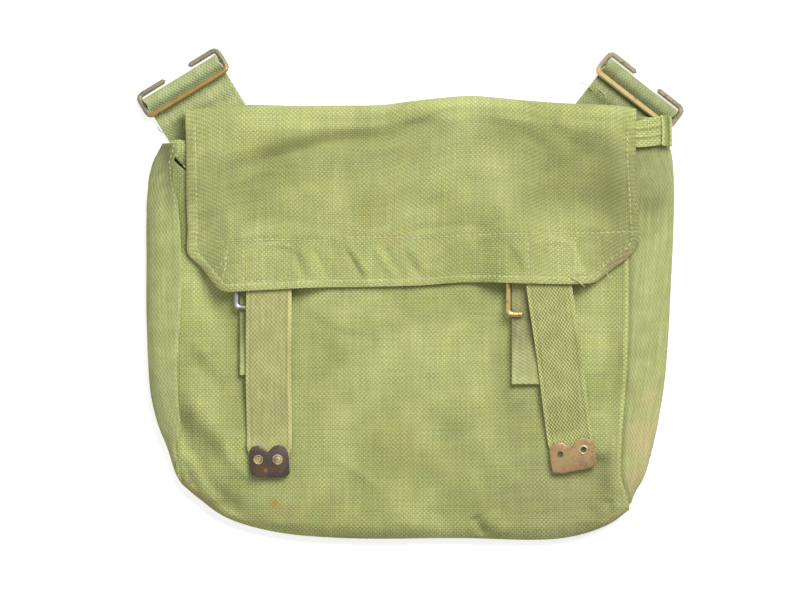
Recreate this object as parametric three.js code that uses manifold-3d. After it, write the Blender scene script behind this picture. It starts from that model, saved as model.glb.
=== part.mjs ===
// A small canvas haversack lying on its back: a pouch of two canvas panels joined by a strip
// of two-inch web, a flap folded over the mouth, two one-inch straps over split-bar buckles,
// and two brass hooks on web tabs at the upper corners. Lengths are millimetres.
// +X runs across the bag, +Y towards the folded top, +Z up from the surface it lies on.

import * as THREE from 'three';
import Module from 'manifold-3d';
import { mergeVertices } from 'three/addons/utils/BufferGeometryUtils.js';

// Pouch
const pouchWidth = 254;
const pouchLength = 242;
const panelHeight = 11;
const canvas = 1.2;

// Gusset strip and the way it is sewn to the panels
const gussetThick = 2.0;
const seamLap = 5;
const backLap = 4;
const lapRun = 2.5;
const lapFall = 8;
const crossOver = 2.2;
const seamRun = 2;
const rollWidth = 9;

// Flap
const foldDepth = 7;
const foldPuff = 3;
const skirtWidth = 12;

// Hooks and their tabs
const hookLength = 54.5;
const hookDepth = 17.2;
const hookWire = 3.2;
const hookGap = 14.6;
const hookCorner = 3;
const tabThick = 2.0;
const tabDouble = 7;
const tabReach = 52;
const tabStep = 3;

// Straps, chapes and buckles
const strapWidth = 25.4;
const strapFall = 13;
const strapThick = 1.4;
const chapeWidth = 24.4;
const chapeThick = 1.4;
const buckleWire = 2.8;
const buckleLength = 29;
const buckleStub = 7.6;
const buckleCorner = 2.6;
const tipWidth = 26.2;
const tipLength = 18.6;
const tipPlate = 0.8;
const tipHole = 2.6;
const tipLobe = 4.2;
const tipCorner = 1.5;
const holeInset = 1.6;

// Clearances
const seamGap = 0.3;
const layGap = 0.9;
const lapGap = 0.8;
const webGap = 0.45;
const hookSlack = 0.3;
const clothMargin = 7;
const clothFade = 10;
const stackMargin = 2;

const halfWidth = pouchWidth / 2;
const halfCanvas = canvas / 2;

// The run of the gusset, from the left end of the mouth, down, round the bottom and up to the
// right end. rim is the front panel's edge, fold the strip's outermost line and back its line
// on the back panel: across in half widths, down in lengths from the folded top. over is 1
// where the strip lies on the panel's edge and -1 where it is tucked under it. rise is the
// height of the panel's edge in panel heights.
const run = [
  { rim: [-1.090, 0.105], fold: [-1.110, 0.105], back: [-0.945, 0.085], over: 1.0, rise: 0.80 },
  { rim: [-1.098, 0.150], fold: [-1.142, 0.140], back: [-0.945, 0.130], over: 1.0, rise: 0.80 },
  { rim: [-1.073, 0.220], fold: [-1.162, 0.220], back: [-0.945, 0.220], over: 1.0, rise: 0.82 },
  { rim: [-1.054, 0.350], fold: [-1.164, 0.350], back: [-0.945, 0.350], over: 1.0, rise: 0.84 },
  { rim: [-1.058, 0.480], fold: [-1.164, 0.480], back: [-0.945, 0.480], over: 1.0, rise: 0.84 },
  { rim: [-1.072, 0.580], fold: [-1.158, 0.580], back: [-0.945, 0.580], over: 1.0, rise: 0.84 },
  { rim: [-1.070, 0.673], fold: [-1.144, 0.673], back: [-0.940, 0.670], over: 1.0, rise: 0.82 },
  { rim: [-1.058, 0.735], fold: [-1.115, 0.735], back: [-0.925, 0.730], over: 1.0, rise: 0.78 },
  { rim: [-1.040, 0.800], fold: [-1.067, 0.800], back: [-0.900, 0.780], over: 0.4, rise: 0.70 },
  { rim: [-1.022, 0.850], fold: [-1.038, 0.850], back: [-0.870, 0.810], over: -0.4, rise: 0.62 },
  { rim: [-1.008, 0.876], fold: [-1.010, 0.876], back: [-0.840, 0.830], over: -1.0, rise: 0.58 },
  { rim: [-0.940, 0.908], fold: [-0.930, 0.900], back: [-0.800, 0.845], over: -1.0, rise: 0.56 },
  { rim: [-0.820, 0.952], fold: [-0.810, 0.945], back: [-0.720, 0.860], over: -1.0, rise: 0.55 },
  { rim: [-0.610, 0.985], fold: [-0.610, 0.979], back: [-0.550, 0.870], over: -1.0, rise: 0.55 },
  { rim: [-0.300, 1.000], fold: [-0.300, 0.993], back: [-0.290, 0.872], over: -1.0, rise: 0.55 },
  { rim: [0.200, 1.000], fold: [0.200, 0.993], back: [0.200, 0.872], over: -1.0, rise: 0.55 },
  { rim: [0.666, 1.000], fold: [0.660, 0.993], back: [0.640, 0.872], over: -1.0, rise: 0.55 },
  { rim: [0.860, 0.970], fold: [0.850, 0.963], back: [0.790, 0.865], over: -1.0, rise: 0.55 },
  { rim: [0.957, 0.935], fold: [0.955, 0.925], back: [0.870, 0.850], over: -1.0, rise: 0.58 },
  { rim: [0.945, 0.905], fold: [0.980, 0.895], back: [0.920, 0.820], over: -1.0, rise: 0.66 },
  { rim: [0.920, 0.860], fold: [1.018, 0.860], back: [0.965, 0.790], over: -1.0, rise: 0.76 },
  { rim: [0.919, 0.800], fold: [1.052, 0.800], back: [0.990, 0.750], over: -1.0, rise: 0.84 },
  { rim: [0.929, 0.720], fold: [1.085, 0.720], back: [1.005, 0.690], over: -1.0, rise: 0.90 },
  { rim: [0.942, 0.630], fold: [1.110, 0.630], back: [1.010, 0.610], over: -1.0, rise: 0.92 },
  { rim: [0.950, 0.530], fold: [1.125, 0.530], back: [1.010, 0.520], over: -1.0, rise: 0.92 },
  { rim: [0.952, 0.420], fold: [1.137, 0.420], back: [1.010, 0.410], over: -1.0, rise: 0.92 },
  { rim: [0.952, 0.300], fold: [1.147, 0.300], back: [1.010, 0.290], over: -1.0, rise: 0.92 },
  { rim: [0.952, 0.200], fold: [1.150, 0.200], back: [1.010, 0.190], over: -1.0, rise: 0.92 },
  { rim: [0.952, 0.130], fold: [1.143, 0.120], back: [1.008, 0.100], over: -1.0, rise: 0.92 },
  { rim: [0.952, 0.105], fold: [1.125, 0.075], back: [1.000, 0.055], over: -1.0, rise: 0.92 },
  { rim: [0.952, 0.095], fold: [1.115, 0.030], back: [0.985, 0.027], over: -1.0, rise: 0.92 },
];
// The gusset's rounded outer fold: its run in heights of the fold, the least height in strip
// thicknesses, and where the turns lie between the back, the fold and the seam.
const nose = {
  run: 0.42, leastHeight: 1.3, lapShare: 0.35, fallShare: 0.62,
  lowShare: 0.7, highShare: 0.4, highRise: 0.86, seamShare: 0.62, seamRise: 0.97,
};
const leftCorner = 10;
const rightCorner = 18;

// The front panel's free edge between the two ends of the gusset, as [across, down].
const mouth = [[-1.09, 0.105], [-0.98, 0.154], [-0.49, 0.163], [0, 0.154], [0.48, 0.125], [0.952, 0.095]];

// The top of the fold: how far it stands above the nominal top, in lengths.
const foldTop = [
  [-0.996, -0.011], [-0.736, -0.001], [-0.494, -0.004], [-0.141, -0.001], [0.079, 0.011],
  [0.256, 0.019], [0.476, 0.010], [0.741, 0.001], [0.917, -0.004], [0.988, -0.011],
];

// The flap's free edges, as [across, down].
const flapLeft = [[-0.996, 0.011], [-0.992, 0.12], [-0.988, 0.24], [-0.990, 0.330]];
const flapRight = [[0.988, 0.011], [0.986, 0.12], [0.994, 0.24], [1.002, 0.316]];
const flapLower = [
  [-0.990, 0.330], [-0.930, 0.372], [-0.860, 0.418], [-0.825, 0.430], [-0.72, 0.429],
  [-0.41, 0.421], [0, 0.417], [0.245, 0.409], [0.49, 0.412], [0.735, 0.413],
  [0.805, 0.408], [0.885, 0.380], [0.960, 0.345], [1.002, 0.316],
];

// How far down the puff of the fold runs out, and how far above its end a strap lifts the flap
// and holds it lifted, in lengths.
const puffEnd = 0.18;
const strapRise = [0.075, 0.012];

// Dents and folds: the middle as [across, down], the reach along and across in widths, the
// turn in degrees and the lift in panel heights.
const panelFolds = [
  { at: [-0.657, 0.420], reach: [0.16, 0.13], turn: 0, lift: -0.30 },
  { at: [0.570, 0.435], reach: [0.17, 0.13], turn: 0, lift: -0.30 },
  { at: [-0.880, 0.800], reach: [0.11, 0.03], turn: -62, lift: -0.13 },
  { at: [-0.760, 0.780], reach: [0.13, 0.05], turn: -60, lift: 0.10 },
  { at: [0.780, 0.880], reach: [0.10, 0.05], turn: 60, lift: -0.10 },
  { at: [0.050, 0.700], reach: [0.30, 0.20], turn: 10, lift: 0.08 },
  { at: [0.675, 0.140], reach: [0.18, 0.050], turn: 23, lift: -0.16 },
  { at: [-0.770, 0.255], reach: [0.07, 0.030], turn: 25, lift: -0.07 },
];
const flapFolds = [
  { at: [-0.317, 0.070], reach: [0.20, 0.035], turn: 16, lift: -0.15 },
  { at: [0.278, 0.030], reach: [0.17, 0.070], turn: 4, lift: 0.22 },
];

// Straps and what lies under them: the strap's middle line as [across, down] with its lower
// end last, the chape's middle and lower end, and the buckle's lower edge.
const strapSides = [
  {
    name: 'left', chapeAcross: -0.662, chapeEnd: 0.624, buckleFoot: 0.474,
    line: [[-0.6305, 0.322], [-0.629, 0.43], [-0.632, 0.60], [-0.628, 0.73], [-0.628, 0.861]],
  },
  {
    name: 'right', chapeAcross: 0.534, chapeEnd: 0.645, buckleFoot: 0.490,
    line: [[0.583, 0.316], [0.601, 0.414], [0.650, 0.59], [0.676, 0.70], [0.716, 0.846]],
  },
];

// The tab's fall from its loop to under the long bar, as shares of the way and of the height.
const tabFall = [[0.22, 0.95], [0.68, 0.16]];

// Hooks: the middle of each as [across, down] and its turn in degrees.
const hookSides = [
  { name: 'left', at: [-1.012, -0.053], turn: 31.5 },
  { name: 'right', at: [1.007, -0.036], turn: -38.2 },
];

// Small helpers
const { clamp, degToRad, lerp, smoothstep } = THREE.MathUtils;

function spot([across, down]) {
  return new THREE.Vector3(across * halfWidth, pouchLength * (0.5 - down), 0);
}

function curveThrough(shares) {
  return new THREE.CatmullRomCurve3(shares.map(spot), false, 'centripetal');
}

function columnAt(values, share) {
  const place = clamp(share, 0, 1) * (values.length - 1);
  const index = Math.min(Math.floor(place), values.length - 2);
  return lerp(values[index], values[index + 1], place - index);
}

function foldHeight(rows, x, y) {
  let lift = 0;
  for (const row of rows) {
    const middle = spot(row.at);
    const turn = degToRad(row.turn);
    const along = (x - middle.x) * Math.cos(turn) + (y - middle.y) * Math.sin(turn);
    const beside = (y - middle.y) * Math.cos(turn) - (x - middle.x) * Math.sin(turn);
    const spread = (along / row.reach[0]) ** 2 + (beside / row.reach[1]) ** 2;
    lift += row.lift * panelHeight * Math.exp(-spread / pouchWidth ** 2);
  }
  return lift;
}

// Geometry builders
function closedMesh(points, faces) {
  const geometry = new THREE.BufferGeometry();
  geometry.setAttribute('position', new THREE.Float32BufferAttribute(points.flatMap((p) => p.toArray()), 3));
  geometry.setIndex(faces.flat());
  geometry.computeVertexNormals();
  return geometry;
}

// A closed sheet of even thickness about a grid of points, rows first.
function sheet(grid, thickness) {
  const rows = grid.length;
  const columns = grid[0].length;
  const points = [];
  for (const side of [1, -1]) {
    for (let j = 0; j < rows; j += 1) {
      for (let i = 0; i < columns; i += 1) {
        const east = grid[j][Math.min(i + 1, columns - 1)];
        const west = grid[j][Math.max(i - 1, 0)];
        const next = grid[Math.min(j + 1, rows - 1)][i];
        const last = grid[Math.max(j - 1, 0)][i];
        const acrossWay = east.clone().sub(west);
        const normal = acrossWay.cross(next.clone().sub(last)).normalize();
        points.push(grid[j][i].clone().addScaledVector(normal, side * thickness / 2));
      }
    }
  }
  const count = rows * columns;
  const faces = [];
  for (let j = 0; j + 1 < rows; j += 1) {
    for (let i = 0; i + 1 < columns; i += 1) {
      const a = j * columns + i;
      const b = a + 1;
      const c = a + columns;
      const d = c + 1;
      faces.push([a, b, d], [a, d, c]);
      faces.push([count + a, count + d, count + b], [count + a, count + c, count + d]);
    }
  }
  const border = [];
  for (let i = 0; i + 1 < columns; i += 1) border.push(i);
  for (let j = 0; j + 1 < rows; j += 1) border.push(j * columns + columns - 1);
  for (let i = columns - 1; i > 0; i -= 1) border.push((rows - 1) * columns + i);
  for (let j = rows - 1; j > 0; j -= 1) border.push(j * columns);
  border.forEach((a, index) => {
    const b = border[(index + 1) % border.length];
    faces.push([a, count + a, count + b], [a, count + b, b]);
  });
  return closedMesh(points, faces);
}

// A round wire along a flat path in the XY plane, with rounded corners and domed ends.
function wire(corners, cornerRadius, diameter) {
  const sides = 8;
  const path = [corners[0]];
  for (let i = 1; i + 1 < corners.length; i += 1) {
    const before = corners[i - 1].clone().sub(corners[i]).setLength(cornerRadius).add(corners[i]);
    const after = corners[i + 1].clone().sub(corners[i]).setLength(cornerRadius).add(corners[i]);
    path.push(...new THREE.QuadraticBezierCurve(before, corners[i], after).getPoints(3));
  }
  path.push(corners[corners.length - 1]);
  const points = [];
  path.forEach((point, index) => {
    const next = path[Math.min(index + 1, path.length - 1)];
    const last = path[Math.max(index - 1, 0)];
    const way = next.clone().sub(last).normalize();
    for (let k = 0; k < sides; k += 1) {
      const angle = 2 * Math.PI * k / sides;
      const outX = way.y * Math.cos(angle) * diameter / 2;
      const outY = -way.x * Math.cos(angle) * diameter / 2;
      points.push(new THREE.Vector3(point.x + outX, point.y + outY, Math.sin(angle) * diameter / 2));
    }
  });
  const faces = [];
  for (let j = 0; j + 1 < path.length; j += 1) {
    for (let k = 0; k < sides; k += 1) {
      const a = j * sides + k;
      const b = j * sides + (k + 1) % sides;
      faces.push([a, b + sides, b], [a, a + sides, b + sides]);
    }
  }
  for (const [end, way] of [[0, -1], [path.length - 1, 1]]) {
    const inner = path[end === 0 ? 1 : end - 1];
    const outward = path[end].clone().sub(inner).setLength(diameter / 2).add(path[end]);
    const tip = points.push(new THREE.Vector3(outward.x, outward.y, 0)) - 1;
    for (let k = 0; k < sides; k += 1) {
      const a = end * sides + k;
      const b = end * sides + (k + 1) % sides;
      faces.push(way > 0 ? [b, a, tip] : [a, b, tip]);
    }
  }
  return closedMesh(points, faces);
}

const wasm = await Module();
wasm.setup();

function solidOf(geometry) {
  const bare = geometry.clone();
  bare.deleteAttribute('normal');
  bare.deleteAttribute('uv');
  const merged = mergeVertices(bare, 1e-4);
  const vertProperties = Float32Array.from(merged.attributes.position.array);
  const triVerts = Uint32Array.from(merged.index.array);
  return new wasm.Manifold(new wasm.Mesh({ numProp: 3, vertProperties, triVerts }));
}

function geometryOf(solid) {
  const mesh = solid.getMesh();
  const geometry = new THREE.BufferGeometry();
  geometry.setAttribute('position', new THREE.BufferAttribute(mesh.vertProperties, 3));
  geometry.setIndex(new THREE.BufferAttribute(mesh.triVerts, 1));
  geometry.computeVertexNormals();
  return geometry;
}

// Materials
function finish(color, roughness, metalness = 0) {
  return new THREE.MeshStandardMaterial({ color, roughness, metalness, side: THREE.FrontSide });
}

const canvasGreen = finish(0xb3b879, 0.95);
const webGreen = finish(0xa9ad74, 0.95);
const webTan = finish(0xb2ae76, 0.95);
const brassDark = finish(0x8a6f45, 0.45, 1);
const brassBright = finish(0xd8bd7a, 0.35, 1);
const steelGrey = finish(0x8d8f92, 0.4, 1);

const bag = new THREE.Group();

function addPiece(name, geometry, material, parent = bag) {
  const mesh = new THREE.Mesh(geometry, material);
  mesh.name = name;
  parent.add(mesh);
  return mesh;
}

// Edge lines shared by the panels and the gusset
const rimLine = curveThrough(run.map((row) => row.rim));
const foldLine = curveThrough(run.map((row) => row.fold));
const backLine = curveThrough(run.map((row) => row.back));

function outwardAt(line, share) {
  const way = line.getTangent(clamp(share, 0.001, 0.999));
  return new THREE.Vector3(-way.y, way.x, 0).multiplyScalar(-1).normalize();
}

const rimSamples = [];
const rimSteps = 120;
for (let i = 0; i <= rimSteps; i += 1) {
  const share = i / rimSteps;
  rimSamples.push({
    point: rimLine.getPoint(share),
    outward: outwardAt(rimLine, share),
    rise: columnAt(run.map((row) => row.rise), share),
  });
}

// Height of the front panel's middle surface above the ground.
function panelMid(x, y) {
  let nearest = null;
  let nearestSquare = Infinity;
  for (const sample of rimSamples) {
    const square = (x - sample.point.x) ** 2 + (y - sample.point.y) ** 2;
    if (square < nearestSquare) {
      nearestSquare = square;
      nearest = sample;
    }
  }
  const side = (x - nearest.point.x) * nearest.outward.x + (y - nearest.point.y) * nearest.outward.y;
  const inside = side > 0 ? 0 : clamp(Math.sqrt(nearestSquare) / rollWidth, 0, 1);
  const swell = nearest.rise + (1 - nearest.rise) * inside * (2 - inside);
  return panelHeight * swell + inside * foldHeight(panelFolds, x, y);
}

// Highest point of the front panel's middle surface along a short line across the bag.
function panelUnder(fromX, toX, y) {
  const samples = 6;
  let top = -Infinity;
  for (let i = 0; i <= samples; i += 1) {
    top = Math.max(top, panelMid(lerp(fromX, toX, i / samples), y));
  }
  return top;
}

// Heights of what is stacked on the front panel, over its middle surface
const chapeLow = halfCanvas + webGap + chapeThick / 2;
const loopRadius = buckleWire / 2 + seamGap + chapeThick / 2;
const barOver = chapeLow + loopRadius;
const chapeHigh = chapeLow + chapeThick + seamGap;
const footOver = chapeHigh + chapeThick / 2 + seamGap + buckleWire / 2;
const loopTop = barOver + loopRadius + chapeThick / 2;
const footTop = footOver + buckleWire / 2;
const strapHigh = Math.max(loopTop, footTop) + seamGap + strapThick / 2;
const strapLow = halfCanvas + webGap + strapThick / 2;
const strapAtTip = halfCanvas + webGap + tipPlate + seamGap + strapThick / 2;
const strapOverChape = chapeHigh + chapeThick / 2 + seamGap + strapThick / 2;
const flapOver = canvas + layGap;
const flapOverStrap = strapHigh + strapThick / 2 + webGap + halfCanvas;

// Tabs and hooks lie on the ground under the upper corners
const hookOut = hookDepth - hookWire;
const tabLow = tabThick / 2;
const tabLoop = hookWire / 2 + seamGap + tabThick / 2;
const midBarHeight = tabLow + tabLoop;
const tabHigh = tabLow + tabThick + seamGap;
const longBarHeight = tabHigh + tabThick / 2 + seamGap + hookWire / 2;
const hookTilt = Math.asin((longBarHeight - midBarHeight) / (hookOut / 2));
const longBarAlong = -hookOut / 2 * Math.cos(hookTilt);
const tabWidth = hookLength - 2 * hookWire - 2 * hookSlack;
const doubleEnd = longBarAlong - hookWire / 2 - tabDouble;

// Height of the top of the tabs and hooks at a place, with the gap that cloth keeps over them.
function groundTop(x, y) {
  let top = 0;
  const sideEnd = hookLength / 2 + clothMargin;
  const tabStart = -tabReach - clothMargin;
  for (const side of hookSides) {
    const middle = spot(side.at);
    const turn = degToRad(side.turn);
    const beside = Math.abs((x - middle.x) * Math.cos(turn) + (y - middle.y) * Math.sin(turn));
    const along = (y - middle.y) * Math.cos(turn) - (x - middle.x) * Math.sin(turn);
    const onTab = 1 - smoothstep(beside, sideEnd, sideEnd + clothFade);
    const started = smoothstep(along, tabStart - clothFade, tabStart);
    const doubled = smoothstep(along, doubleEnd - clothMargin - clothFade / 2, doubleEnd - clothMargin / 2);
    const barred = smoothstep(along, longBarAlong - hookWire - clothMargin, longBarAlong - hookWire / 2);
    const height = started * (tabThick + layGap)
      + doubled * (tabThick + seamGap)
      + barred * (hookWire + seamGap);
    top = Math.max(top, onTab * height);
  }
  return top;
}

// Height of the flap's middle surface
function flapMid(x, y) {
  const down = 0.5 - y / pouchLength;
  const lift = foldPuff * (1 - smoothstep(down, 0, puffEnd)) + foldHeight(flapFolds, x, y);
  let height = panelMid(x, y) + flapOver + lift;
  for (const side of strapSides) {
    const stack = buckleStack(side);
    const line = side.line;
    const middle = (line[1][0] * 2 + side.chapeAcross) / 3 * halfWidth;
    const reach = Math.abs(x - middle);
    const covered = chapeWidth / 2 + webGap + buckleWire + 2 * stackMargin;
    const beside = 1 - smoothstep(reach, covered, covered + skirtWidth);
    const rise = smoothstep(down, line[0][1] - strapRise[0], line[0][1] - strapRise[1]);
    const needed = stack.under(y) + flapOverStrap;
    height = lerp(height, Math.max(height, needed), beside * rise);
  }
  return height;
}

function coons(top, bottom, left, right, u, v) {
  const point = new THREE.Vector3();
  point.addScaledVector(top.getPointAt(u), 1 - v).addScaledVector(bottom.getPointAt(u), v);
  point.addScaledVector(left.getPointAt(v), 1 - u).addScaledVector(right.getPointAt(v), u);
  point.addScaledVector(top.getPointAt(0), -(1 - u) * (1 - v));
  point.addScaledVector(top.getPointAt(1), -u * (1 - v));
  point.addScaledVector(bottom.getPointAt(0), -(1 - u) * v);
  point.addScaledVector(bottom.getPointAt(1), -u * v);
  return point;
}

// Front panel
function frontPanel() {
  const columns = 26;
  const rows = 20;
  const bunching = 0.35;
  const left = curveThrough(run.slice(0, leftCorner + 1).map((row) => row.rim));
  const bottom = curveThrough(run.slice(leftCorner, rightCorner + 1).map((row) => row.rim));
  const right = curveThrough(run.slice(rightCorner).reverse().map((row) => row.rim));
  const top = curveThrough(mouth);
  const grid = [];
  for (let j = 0; j <= rows; j += 1) {
    const v = lerp(j / rows, Math.sin(j / rows * Math.PI / 2), bunching);
    grid.push([]);
    for (let i = 0; i <= columns; i += 1) {
      const u = lerp(i / columns, (1 - Math.cos(i / columns * Math.PI)) / 2, bunching);
      const point = coons(top, bottom, left, right, u, v);
      point.z = panelMid(point.x, point.y);
      grid[j].push(point);
    }
  }
  return sheet(grid.reverse(), canvas);
}

// Back panel, fold and flap: one piece of canvas
function backAndFlap() {
  const columns = 28;
  const backRows = 10;
  const foldRows = 7;
  const flapRows = 15;
  const foldShares = foldTop.map(([across, above]) => [across, foldDepth / pouchLength - above]);
  const foldStart = curveThrough(foldShares);
  const leftBack = run.slice(0, leftCorner + 1).map((row) => row.back);
  const rightBack = run.slice(rightCorner).reverse().map((row) => row.back);
  const backBottom = run.slice(leftCorner, rightCorner + 1).map((row) => row.back);
  const outset = backLap / halfWidth;
  const widen = (pair) => [pair[0] + Math.sign(pair[0]) * outset, pair[1]];
  const lower = (pair) => [pair[0] * (1 + outset), pair[1] + backLap / pouchLength];
  const bottomEdge = curveThrough(backBottom.map(lower));
  const leftEdge = curveThrough([foldShares[0], ...leftBack.slice(1, -1).map(widen), lower(leftBack.at(-1))]);
  const rightEdge = curveThrough([foldShares.at(-1), ...rightBack.slice(2, -1).map(widen), lower(rightBack.at(-1))]);
  const leftFlap = curveThrough([foldShares[0], ...flapLeft.slice(1)]);
  const rightFlap = curveThrough([foldShares.at(-1), ...flapRight.slice(1)]);
  const lowerFlap = curveThrough(flapLower);
  const grid = [];
  for (let j = backRows; j >= 0; j -= 1) {
    const row = [];
    for (let i = 0; i <= columns; i += 1) {
      const point = coons(foldStart, bottomEdge, leftEdge, rightEdge, i / columns, j / backRows);
      point.z = groundTop(point.x, point.y) + halfCanvas;
      row.push(point);
    }
    grid.push(row);
  }
  const flap = [];
  for (let j = 0; j <= flapRows; j += 1) {
    const row = [];
    for (let i = 0; i <= columns; i += 1) {
      const point = coons(foldStart, lowerFlap, leftFlap, rightFlap, i / columns, j / flapRows);
      point.z = flapMid(point.x, point.y);
      row.push(point);
    }
    flap.push(row);
  }
  const backEnd = grid.at(-1);
  for (let j = 1; j < foldRows; j += 1) {
    const angle = Math.PI * j / foldRows;
    grid.push(backEnd.map((from, i) => {
      const point = from.clone().lerp(flap[0][i], (1 - Math.cos(angle)) / 2);
      point.y += foldDepth * Math.sin(angle);
      return point;
    }));
  }
  grid.push(...flap);
  return sheet(grid, canvas);
}

// Gusset: a web strip folded round the pouch like a sideways C
function gusset() {
  const stations = 60;
  const around = 10;
  const half = gussetThick / 2;
  const grid = [];
  for (let s = 0; s <= stations; s += 1) {
    const share = rimLine.getUtoTmapping(s / stations);
    const rim = rimLine.getPoint(share);
    const fold = foldLine.getPoint(share);
    const back = backLine.getPoint(share);
    const over = columnAt(run.map((row) => row.over), share);
    const outward = outwardAt(rimLine, share);
    const crossing = 1 - Math.abs(over);
    const inset = seamLap * (1 - smoothstep(crossing, 0, 0.4)) - crossOver * crossing;
    const seam = rim.clone().addScaledVector(outward, -inset);
    const step = clamp(over * 2, -1, 1) * (halfCanvas + seamGap + half);
    seam.z = panelMid(rim.x, rim.y) + step;
    const inner = panelMid(seam.x, seam.y) + step;
    if (over > 0.5) seam.z = Math.max(seam.z, inner);
    const lowAt = (point) => groundTop(point.x, point.y) + half;
    const outRun = fold.clone().sub(back);
    const outLength = outRun.length();
    const onBack = back.clone();
    onBack.z = lowAt(back) + canvas + lapGap;
    const pastBack = back.clone().addScaledVector(outRun, Math.min((backLap + lapRun) / outLength, nose.lapShare));
    pastBack.z = lowAt(pastBack) + canvas + lapGap;
    const down = back.clone().addScaledVector(outRun, Math.min((backLap + lapFall) / outLength, nose.fallShare));
    down.z = lowAt(down);
    const noseHeight = Math.max(seam.z - lowAt(fold), nose.leastHeight * gussetThick);
    const noseRun = noseHeight * nose.run;
    const lowNose = back.clone().addScaledVector(outRun, Math.max(1 - noseRun / outLength, nose.lowShare));
    lowNose.z = lowAt(lowNose);
    const foldMid = fold.clone();
    foldMid.z = lowAt(fold) + noseHeight / 2;
    const inRun = seam.clone().sub(fold).setZ(0);
    const inLength = inRun.length();
    const highNose = fold.clone().addScaledVector(inRun, Math.min(noseRun / inLength, nose.highShare));
    highNose.z = lerp(foldMid.z, seam.z, nose.highRise);
    const beforeSeam = fold.clone().addScaledVector(inRun, Math.max(1 - (seamLap + seamRun) / inLength, nose.seamShare));
    beforeSeam.z = lerp(highNose.z, seam.z, nose.seamRise);
    const section = new THREE.CatmullRomCurve3(
      [onBack, pastBack, down, lowNose, foldMid, highNose, beforeSeam, seam], false, 'centripetal',
    );
    const row = section.getSpacedPoints(around);
    row.forEach((point) => {
      point.z = Math.max(point.z, lowAt(point));
    });
    grid.push(row);
  }
  return sheet(grid, gussetThick);
}

// A flat strip of web: points along its middle line with the way across it at each.
function strip(rows, width, thickness) {
  const grid = rows.map(({ point, across }) => [-0.5, 0.5].map(
    (share) => point.clone().addScaledVector(across, share * width),
  ));
  return sheet(grid, thickness);
}

// Hooks, each a bent wire with a bar across its middle, and the web tabs round the bars
function hook(side) {
  const length = hookLength / 2 - hookWire / 2;
  const depth = hookOut / 2;
  const corners = [
    [-hookGap / 2 - hookWire / 2, depth], [-length, depth], [-length, -depth],
    [length, -depth], [length, depth], [hookGap / 2 + hookWire / 2, depth],
  ].map(([x, y]) => new THREE.Vector2(x, y));
  const frame = solidOf(wire(corners, hookCorner, hookWire));
  const barEnds = [-length, length].map((x) => new THREE.Vector2(x, 0));
  const bar = solidOf(wire(barEnds, hookCorner, hookWire * 0.9));
  const mesh = addPiece(`hook_${side.name}`, geometryOf(frame.add(bar)), brassDark);
  mesh.rotation.order = 'ZXY';
  mesh.rotation.set(-hookTilt, 0, degToRad(side.turn));
  mesh.position.copy(spot(side.at)).setZ(midBarHeight);
}

function tab(side) {
  const middle = spot(side.at);
  const turn = degToRad(side.turn);
  const outward = new THREE.Vector3(-Math.sin(turn), Math.cos(turn), 0);
  const across = new THREE.Vector3(Math.cos(turn), Math.sin(turn), 0);
  const profile = [];
  const innerEnd = doubleEnd + layGap;
  for (let i = 0; i < 3; i += 1) profile.push([lerp(innerEnd, -hookWire / 2, i / 2), tabLow]);
  const turns = 8;
  for (let i = 0; i <= turns; i += 1) {
    const angle = Math.PI * (i / turns - 0.5);
    profile.push([tabLoop * Math.cos(angle), midBarHeight + tabLoop * Math.sin(angle)]);
  }
  for (const [share, rise] of tabFall) {
    profile.push([longBarAlong * share, lerp(tabHigh, midBarHeight + tabLoop, rise)]);
  }
  profile.push([longBarAlong, tabHigh]);
  profile.push([lerp(longBarAlong, doubleEnd, 0.5), tabHigh]);
  profile.push([doubleEnd, tabHigh]);
  profile.push([doubleEnd - tabStep, lerp(tabLow, tabHigh, 0.4)]);
  profile.push([doubleEnd - 2 * tabStep, tabLow]);
  profile.push([-tabReach, tabLow]);
  const rows = profile.map(([along, height]) => ({
    point: middle.clone().addScaledVector(outward, along).setZ(height),
    across,
  }));
  addPiece(`tab_${side.name}`, strip(rows, tabWidth, tabThick), webGreen);
}

// Chapes: web doubled round the buckle's upper bar and sewn to the front panel
function buckleStack(side) {
  const middle = side.chapeAcross * halfWidth;
  const left = Math.min(middle, side.line[0][0] * halfWidth) - chapeWidth / 2 - 2 * stackMargin;
  const right = Math.max(middle, side.line.at(-1)[0] * halfWidth) + strapWidth / 2 + stackMargin;
  const footY = pouchLength * (0.5 - side.buckleFoot) + buckleWire / 2;
  const barY = footY + buckleLength - buckleWire;
  return {
    middle, footY, barY,
    endY: pouchLength * (0.5 - side.chapeEnd),
    under: (y) => panelUnder(left, right, y),
  };
}

function chape(side) {
  const stack = buckleStack(side);
  const across = new THREE.Vector3(1, 0, 0);
  const steps = 9;
  const rows = [];
  const put = (y, z) => rows.push({ point: new THREE.Vector3(stack.middle, y, z), across });
  for (let i = 0; i <= steps; i += 1) {
    const y = lerp(stack.endY, stack.barY - buckleWire / 2, i / steps);
    put(y, stack.under(y) + chapeLow);
  }
  const turns = 8;
  const barZ = stack.under(stack.barY) + barOver;
  for (let i = 0; i <= turns; i += 1) {
    const angle = Math.PI * (i / turns - 0.5);
    put(stack.barY + loopRadius * Math.cos(angle), barZ + loopRadius * Math.sin(angle));
  }
  for (let i = steps - 1; i >= 0; i -= 1) {
    const y = lerp(stack.endY, stack.barY - buckleWire / 2, i / steps);
    const away = smoothstep(stack.barY - y, 1, chapeWidth / 2);
    put(y, stack.under(y) + lerp(barOver + loopRadius, chapeHigh, away));
  }
  addPiece(`chape_${side.name}`, strip(rows, chapeWidth, chapeThick), webGreen);
}

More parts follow.
